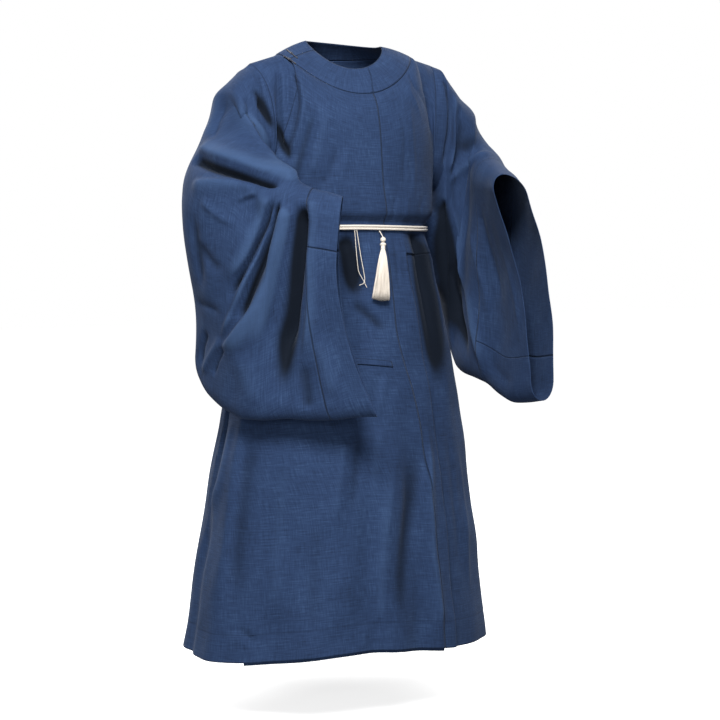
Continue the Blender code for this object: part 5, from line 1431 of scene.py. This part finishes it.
def tassel_strands():
    """Each strand: angle by the golden ratio, share of the radius by the square root of its number.

    Along it the radius goes from the head's to the skirt's as share^0.75, with a slow wave.
    """
    number = np.arange(STRANDS)[:, None]
    angle, ring = number * GOLDEN_ANGLE, np.sqrt((number + 0.5) / STRANDS)
    uneven = np.sin(number * 12.9898) * 43758.5453 % 1.0  # 0 to 1, scattered but the same each time
    share = np.linspace(0, 1, STRAND_POINTS)[None, :]
    spread = mix(HEAD_REACH, TASSEL_REACH, share**0.75) * ring
    wave = WAVE * np.sin(7 * share + 6.28 * uneven) * share
    x = (spread + wave) * np.cos(angle) + LEAN * share**2
    y = (spread * mix(1.0, TASSEL_FLATNESS, share) + wave) * np.sin(angle)
    length = TASSEL_DROP * (1 - UNEVEN * uneven - SHORTER_OUTSIDE * ring)
    root = TASSEL_HEAD + DOWN * HEAD_HEIGHT
    paths = root + DOWN * (share * length)[..., None] + SIDEWAYS * x[..., None] + FORWARD * y[..., None]
    turn = np.linspace(0, 2 * np.pi, STRAND_SIDES, endpoint=False)[:, None]
    thick = (STRAND_RADIUS * (1 - STRAND_TAPER * share))[..., None, None]
    rings = paths[:, :, None] + SIDEWAYS * (thick * np.cos(turn)) + FORWARD * (thick * np.sin(turn))
    uv = stack((uneven * 3)[..., None], (share * TASSEL_DROP)[..., None], np.zeros(STRAND_SIDES))[..., :2]
    return ringed("tassel_skirt", rings, tassel_silk, uv)


skirt = tassel_strands()
print("tassel of", STRANDS, "strands,", len(skirt.data.polygons), "faces")

# %% The cord it hangs on
STEM_RADIUS, STEM_PITCH, STEM_IN_BEAD = 0.0011, 0.005, 0.0005
STEM_POINTS, STEM_SIDES = 24, 12

middle, end = mix(TASSEL_CORD_TOP, bead_top, 0.5), bead_top + DOWN * STEM_IN_BEAD
stem_path = smooth_path([TASSEL_CORD_TOP, middle, end], STEM_POINTS)
stem = tube("tassel_cord_twist", stem_path, STEM_RADIUS, STEM_SIDES, belt_silk, plies=2, pitch=STEM_PITCH)
print("tassel cord of", round(float(np.linalg.norm(end - TASSEL_CORD_TOP)) * 1000), "mm")

# %% [markdown]
# ## The small fastenings and the thread's knot
# Two short dark braids with a knot in the middle hold the collar's ends. The thread's knot is an
# overhand knot: a trefoil curve is exactly that shape.

# %% Fastenings
FROG_RADIUS, FROG_LIFT, FROG_POINTS, FROG_SIDES = 0.0013, 0.0028, 60, 12
FROG_ON_COLLAR = np.array([(-90.0, 0.74), (-71.0, 0.78)])
FROG_ON_BODY = np.array([(-57.0, 0.060), (-47.0, 0.075)])
FROG_KNOT, FROG_END = (1.1, 0.12), (0.25, 0.08)  # extra radius, and its width as a share of the length
BRAID_DARK, BRAID_PALE = (0.006, 0.008, 0.016, 1.0), (0.022, 0.028, 0.050, 1.0)
BRAID_TURN, BRAID_RISE = 12.566, 2600  # radians round the braid and in a metre along it


def braid(name):
    """Almost black braid: small crossed ribs along the cord's UV."""
    dark = Finish(name)
    across, along = dark.uv("cord")
    one = (along * BRAID_RISE + across * BRAID_TURN).sine().size()
    ribs = one.least((along * BRAID_RISE - across * BRAID_TURN).sine().size())
    dark.relief(ribs, 0.0003, 0.6)
    dark.set(Base_Color=dark.blend(ribs, BRAID_DARK, BRAID_PALE), Roughness=0.7, Sheen_Weight=0.2)
    return dark.material


def swelling(distance, size, width):
    """size * exp(-(distance / width)^2)."""
    return size * np.exp(-((distance / width) ** 2))


dark_braid = braid("dark_braid")
share = np.linspace(0, 1, FROG_POINTS)[:, None]
from_middle = np.abs(share[:, 0] - 0.5)
frog_radii = FROG_RADIUS * (1 + swelling(from_middle, *FROG_KNOT) + swelling(from_middle - 0.5, *FROG_END))
angle, across = mix(*FROG_ON_COLLAR, share).T
upper_path = collar_surface(angle, across) + collar_normal(angle, across) * FROG_LIFT
angle, level = mix(*FROG_ON_BODY, share).T
lower_path, _ = on_body(angle, level, FROG_LIFT, creases=False)
frogs = [
    tube(name, path, frog_radii, FROG_SIDES, dark_braid)
    for name, path in (("collar_fastening_upper", upper_path), ("collar_fastening_lower", lower_path))
]
print("fastenings:", len(frogs))

# %% The thread's knot
KNOT_PLACE = THREAD_ROUTES["thread_outer"][4]
KNOT_SCALE, KNOT_RADIUS, KNOT_POINTS, KNOT_SIDES = (0.00052, 0.00040, 0.00052), 0.00055, 90, 8
turn = np.linspace(0, 2 * np.pi, KNOT_POINTS, endpoint=False)
trefoil = stack(np.sin(turn) + 2 * np.sin(2 * turn), np.cos(turn) - 2 * np.cos(2 * turn), -np.sin(3 * turn))
knot_path = KNOT_PLACE + trefoil * KNOT_SCALE
knot = tube("thread_overhand_knot", knot_path, KNOT_RADIUS, KNOT_SIDES, belt_silk, closed=True)
for cord in threads.values():
    cord.data.materials.append(plain_silk)
print("a knot and", len(threads), "threads of cream silk")

# %% [markdown]
# ## Floor and light
# A pale floor and a white surround give even studio light. A soft lamp high in front models the folds,
# a weaker low one opens the shade, and two behind keep the back and the left side readable. The floor
# is paler to the camera than to the light that bounces off it, so that the cloth's shade stays deep.

# %% Floor and surround
FLOOR_LEVEL, FLOOR_REACH = -1.50, 14.0
WHITE = (1.0, 1.0, 1.0, 1.0)
FLOOR_PALE, FLOOR_DIM = (0.86, 0.86, 0.86, 1.0), (0.2, 0.2, 0.2, 1.0)
FLOOR_GLOW, SURROUND = 0.74, 0.31

corners = FLOOR_REACH * np.array([(-1, -1, 0), (1, -1, 0), (1, 1, 0), (-1, 1, 0)]) + (0, 0, FLOOR_LEVEL)
pale = Finish("pale_floor")
pale.set(Base_Color=FLOOR_PALE, Roughness=0.9, Emission_Color=WHITE, Emission_Strength=FLOOR_GLOW)
dim = pale.node("ShaderNodeBsdfDiffuse", Color=FLOOR_DIM)
in_view, shader = pale.node("ShaderNodeLightPath"), Socket(pale, pale.shader.outputs[0])
either = pale.node("ShaderNodeMixShader", i0=in_view, i1=dim, i2=shader)
pale.feed(pale.tree.nodes["Material Output"].inputs[0], either)
floor = mesh_object("floor", corners, [(0, 1, 2, 3)], pale.material)

world = bpy.data.worlds.new("studio")
world.use_nodes = True
nodes, links = world.node_tree.nodes, world.node_tree.links
around, backdrop = nodes["Background"], nodes.new("ShaderNodeBackground")
for light, strength in ((around, SURROUND), (backdrop, 1.0)):
    light.inputs["Color"].default_value = WHITE
    light.inputs["Strength"].default_value = strength
seen, either = nodes.new("ShaderNodeLightPath"), nodes.new("ShaderNodeMixShader")
links.new(seen.outputs["Is Camera Ray"], either.inputs[0])
links.new(around.outputs[0], either.inputs[1])
links.new(backdrop.outputs[0], either.inputs[2])
links.new(either.outputs[0], nodes["World Output"].inputs[0])
bpy.context.scene.world = world
bpy.context.scene.view_settings.view_transform = "Standard"
print("floor at", FLOOR_LEVEL, "m, surround", SURROUND)

# %% Lamps
LAMPS = {  # place, size in metres, watts
    "key": ((-1.4, -2.5, 1.9), 1.2, 200.0),
    "fill": ((-2.3, -3.0, -0.2), 1.2, 38.0),
    "back": ((-0.8, 3.2, 1.5), 2.2, 110.0),
    "left": ((3.0, 1.3, 1.2), 2.0, 70.0),
}
LAMPS_AIM = (0.0, -0.1, -0.6)
for name, (place, size, power) in LAMPS.items():
    lamp = bpy.data.lights.new(name, "AREA")
    lamp.size, lamp.energy = size, power
    aim(placed(name, lamp), place, LAMPS_AIM)
    print(name, "lamp", power, "W")

# %% [markdown]
# ## What stands for what
# Each piece rides on the one body and replaces the packed solids that it was shaped on. The sizes,
# areas and slot names listed with the pieces are not used; the two thread cords carry their length.

# %% Rides and replacements
PANELS = [
    (right_half, ("body_right", "body_right_back", "body_right_front_skirt", "body_right_back_skirt"),
     (0.36, 2.75), 0.83, "collar_band"),
    (left_half, ("body_left", "body_left_back_skirt"), (0.36, 2.75), 0.54, "collar_band"),
    (overlapping_front, ("front_overlap", "front_overlap_skirt"), (0.60, 1.36), 0.60, "left_half"),
    (inner_front, ("front_underlap",), (0.26, 1.34), 0.205, "right_half"),
    (right_side_panel, ("side_panel_right",), (0.36, 0.90), 0.227, "right_half"),
    (left_side_panel, ("side_panel_left",), (0.58, 0.90), 0.387, "left_half"),
    (collar_band, ("collar",), (0.34, 0.28), 0.050, "right_half"),
    (right_sleeve, ("sleeve_right", "sleeve_right_lower"), (0.55, 1.05), 0.555, "right_half"),
    (right_cuff_upper, ("sleeve_right_end_top",), (0.07, 0.34), 0.021, "right_sleeve"),
    (right_cuff_lower, ("sleeve_right_end_bottom",), (0.075, 0.85), 0.058, "right_sleeve"),
    (left_sleeve, ("sleeve_left",), (0.42, 1.02), 0.325, "left_half"),
    (left_cuff_upper, ("sleeve_left_end_top",), (0.30, 0.66), 0.177, "left_sleeve"),
    (left_cuff_lower, ("sleeve_left_end_bottom",), (0.30, 0.20), 0.052, "left_sleeve"),
    (pocket, ("pocket_welt",), (0.10, 0.02), 0.0018, "overlapping_front"),
]
for piece, nodes, flat, area, carrier in PANELS:
    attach(piece, "root")
    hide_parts(*nodes)

TRIMS = [
    (belt[0], ("belt_cord_upper",), "belt_cord"),
    (belt[1], ("belt_cord_lower",), "belt_cord"),
    (stem, ("tassel_cord_and_bead",), "belt_cord"),
    (bead, ("tassel_cord_and_bead",), "tassel_silk"),
    (head, ("tassel",), "tassel_silk"),
    (skirt, ("tassel",), "tassel_silk"),
    (frogs[0], ("frog_upper",), "dark_braid"),
    (frogs[1], ("frog_lower",), "dark_braid"),
    (knot, ("thread_knot_end",), "thread"),
    (threads["thread_outer"], ("thread_strand_1", "thread_knot_end"), "thread"),
    (threads["thread_inner"], ("thread_strand_2", "thread_end"), "thread"),
]
for piece, nodes, slot in TRIMS:
    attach(piece, "root")
    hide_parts(*nodes)
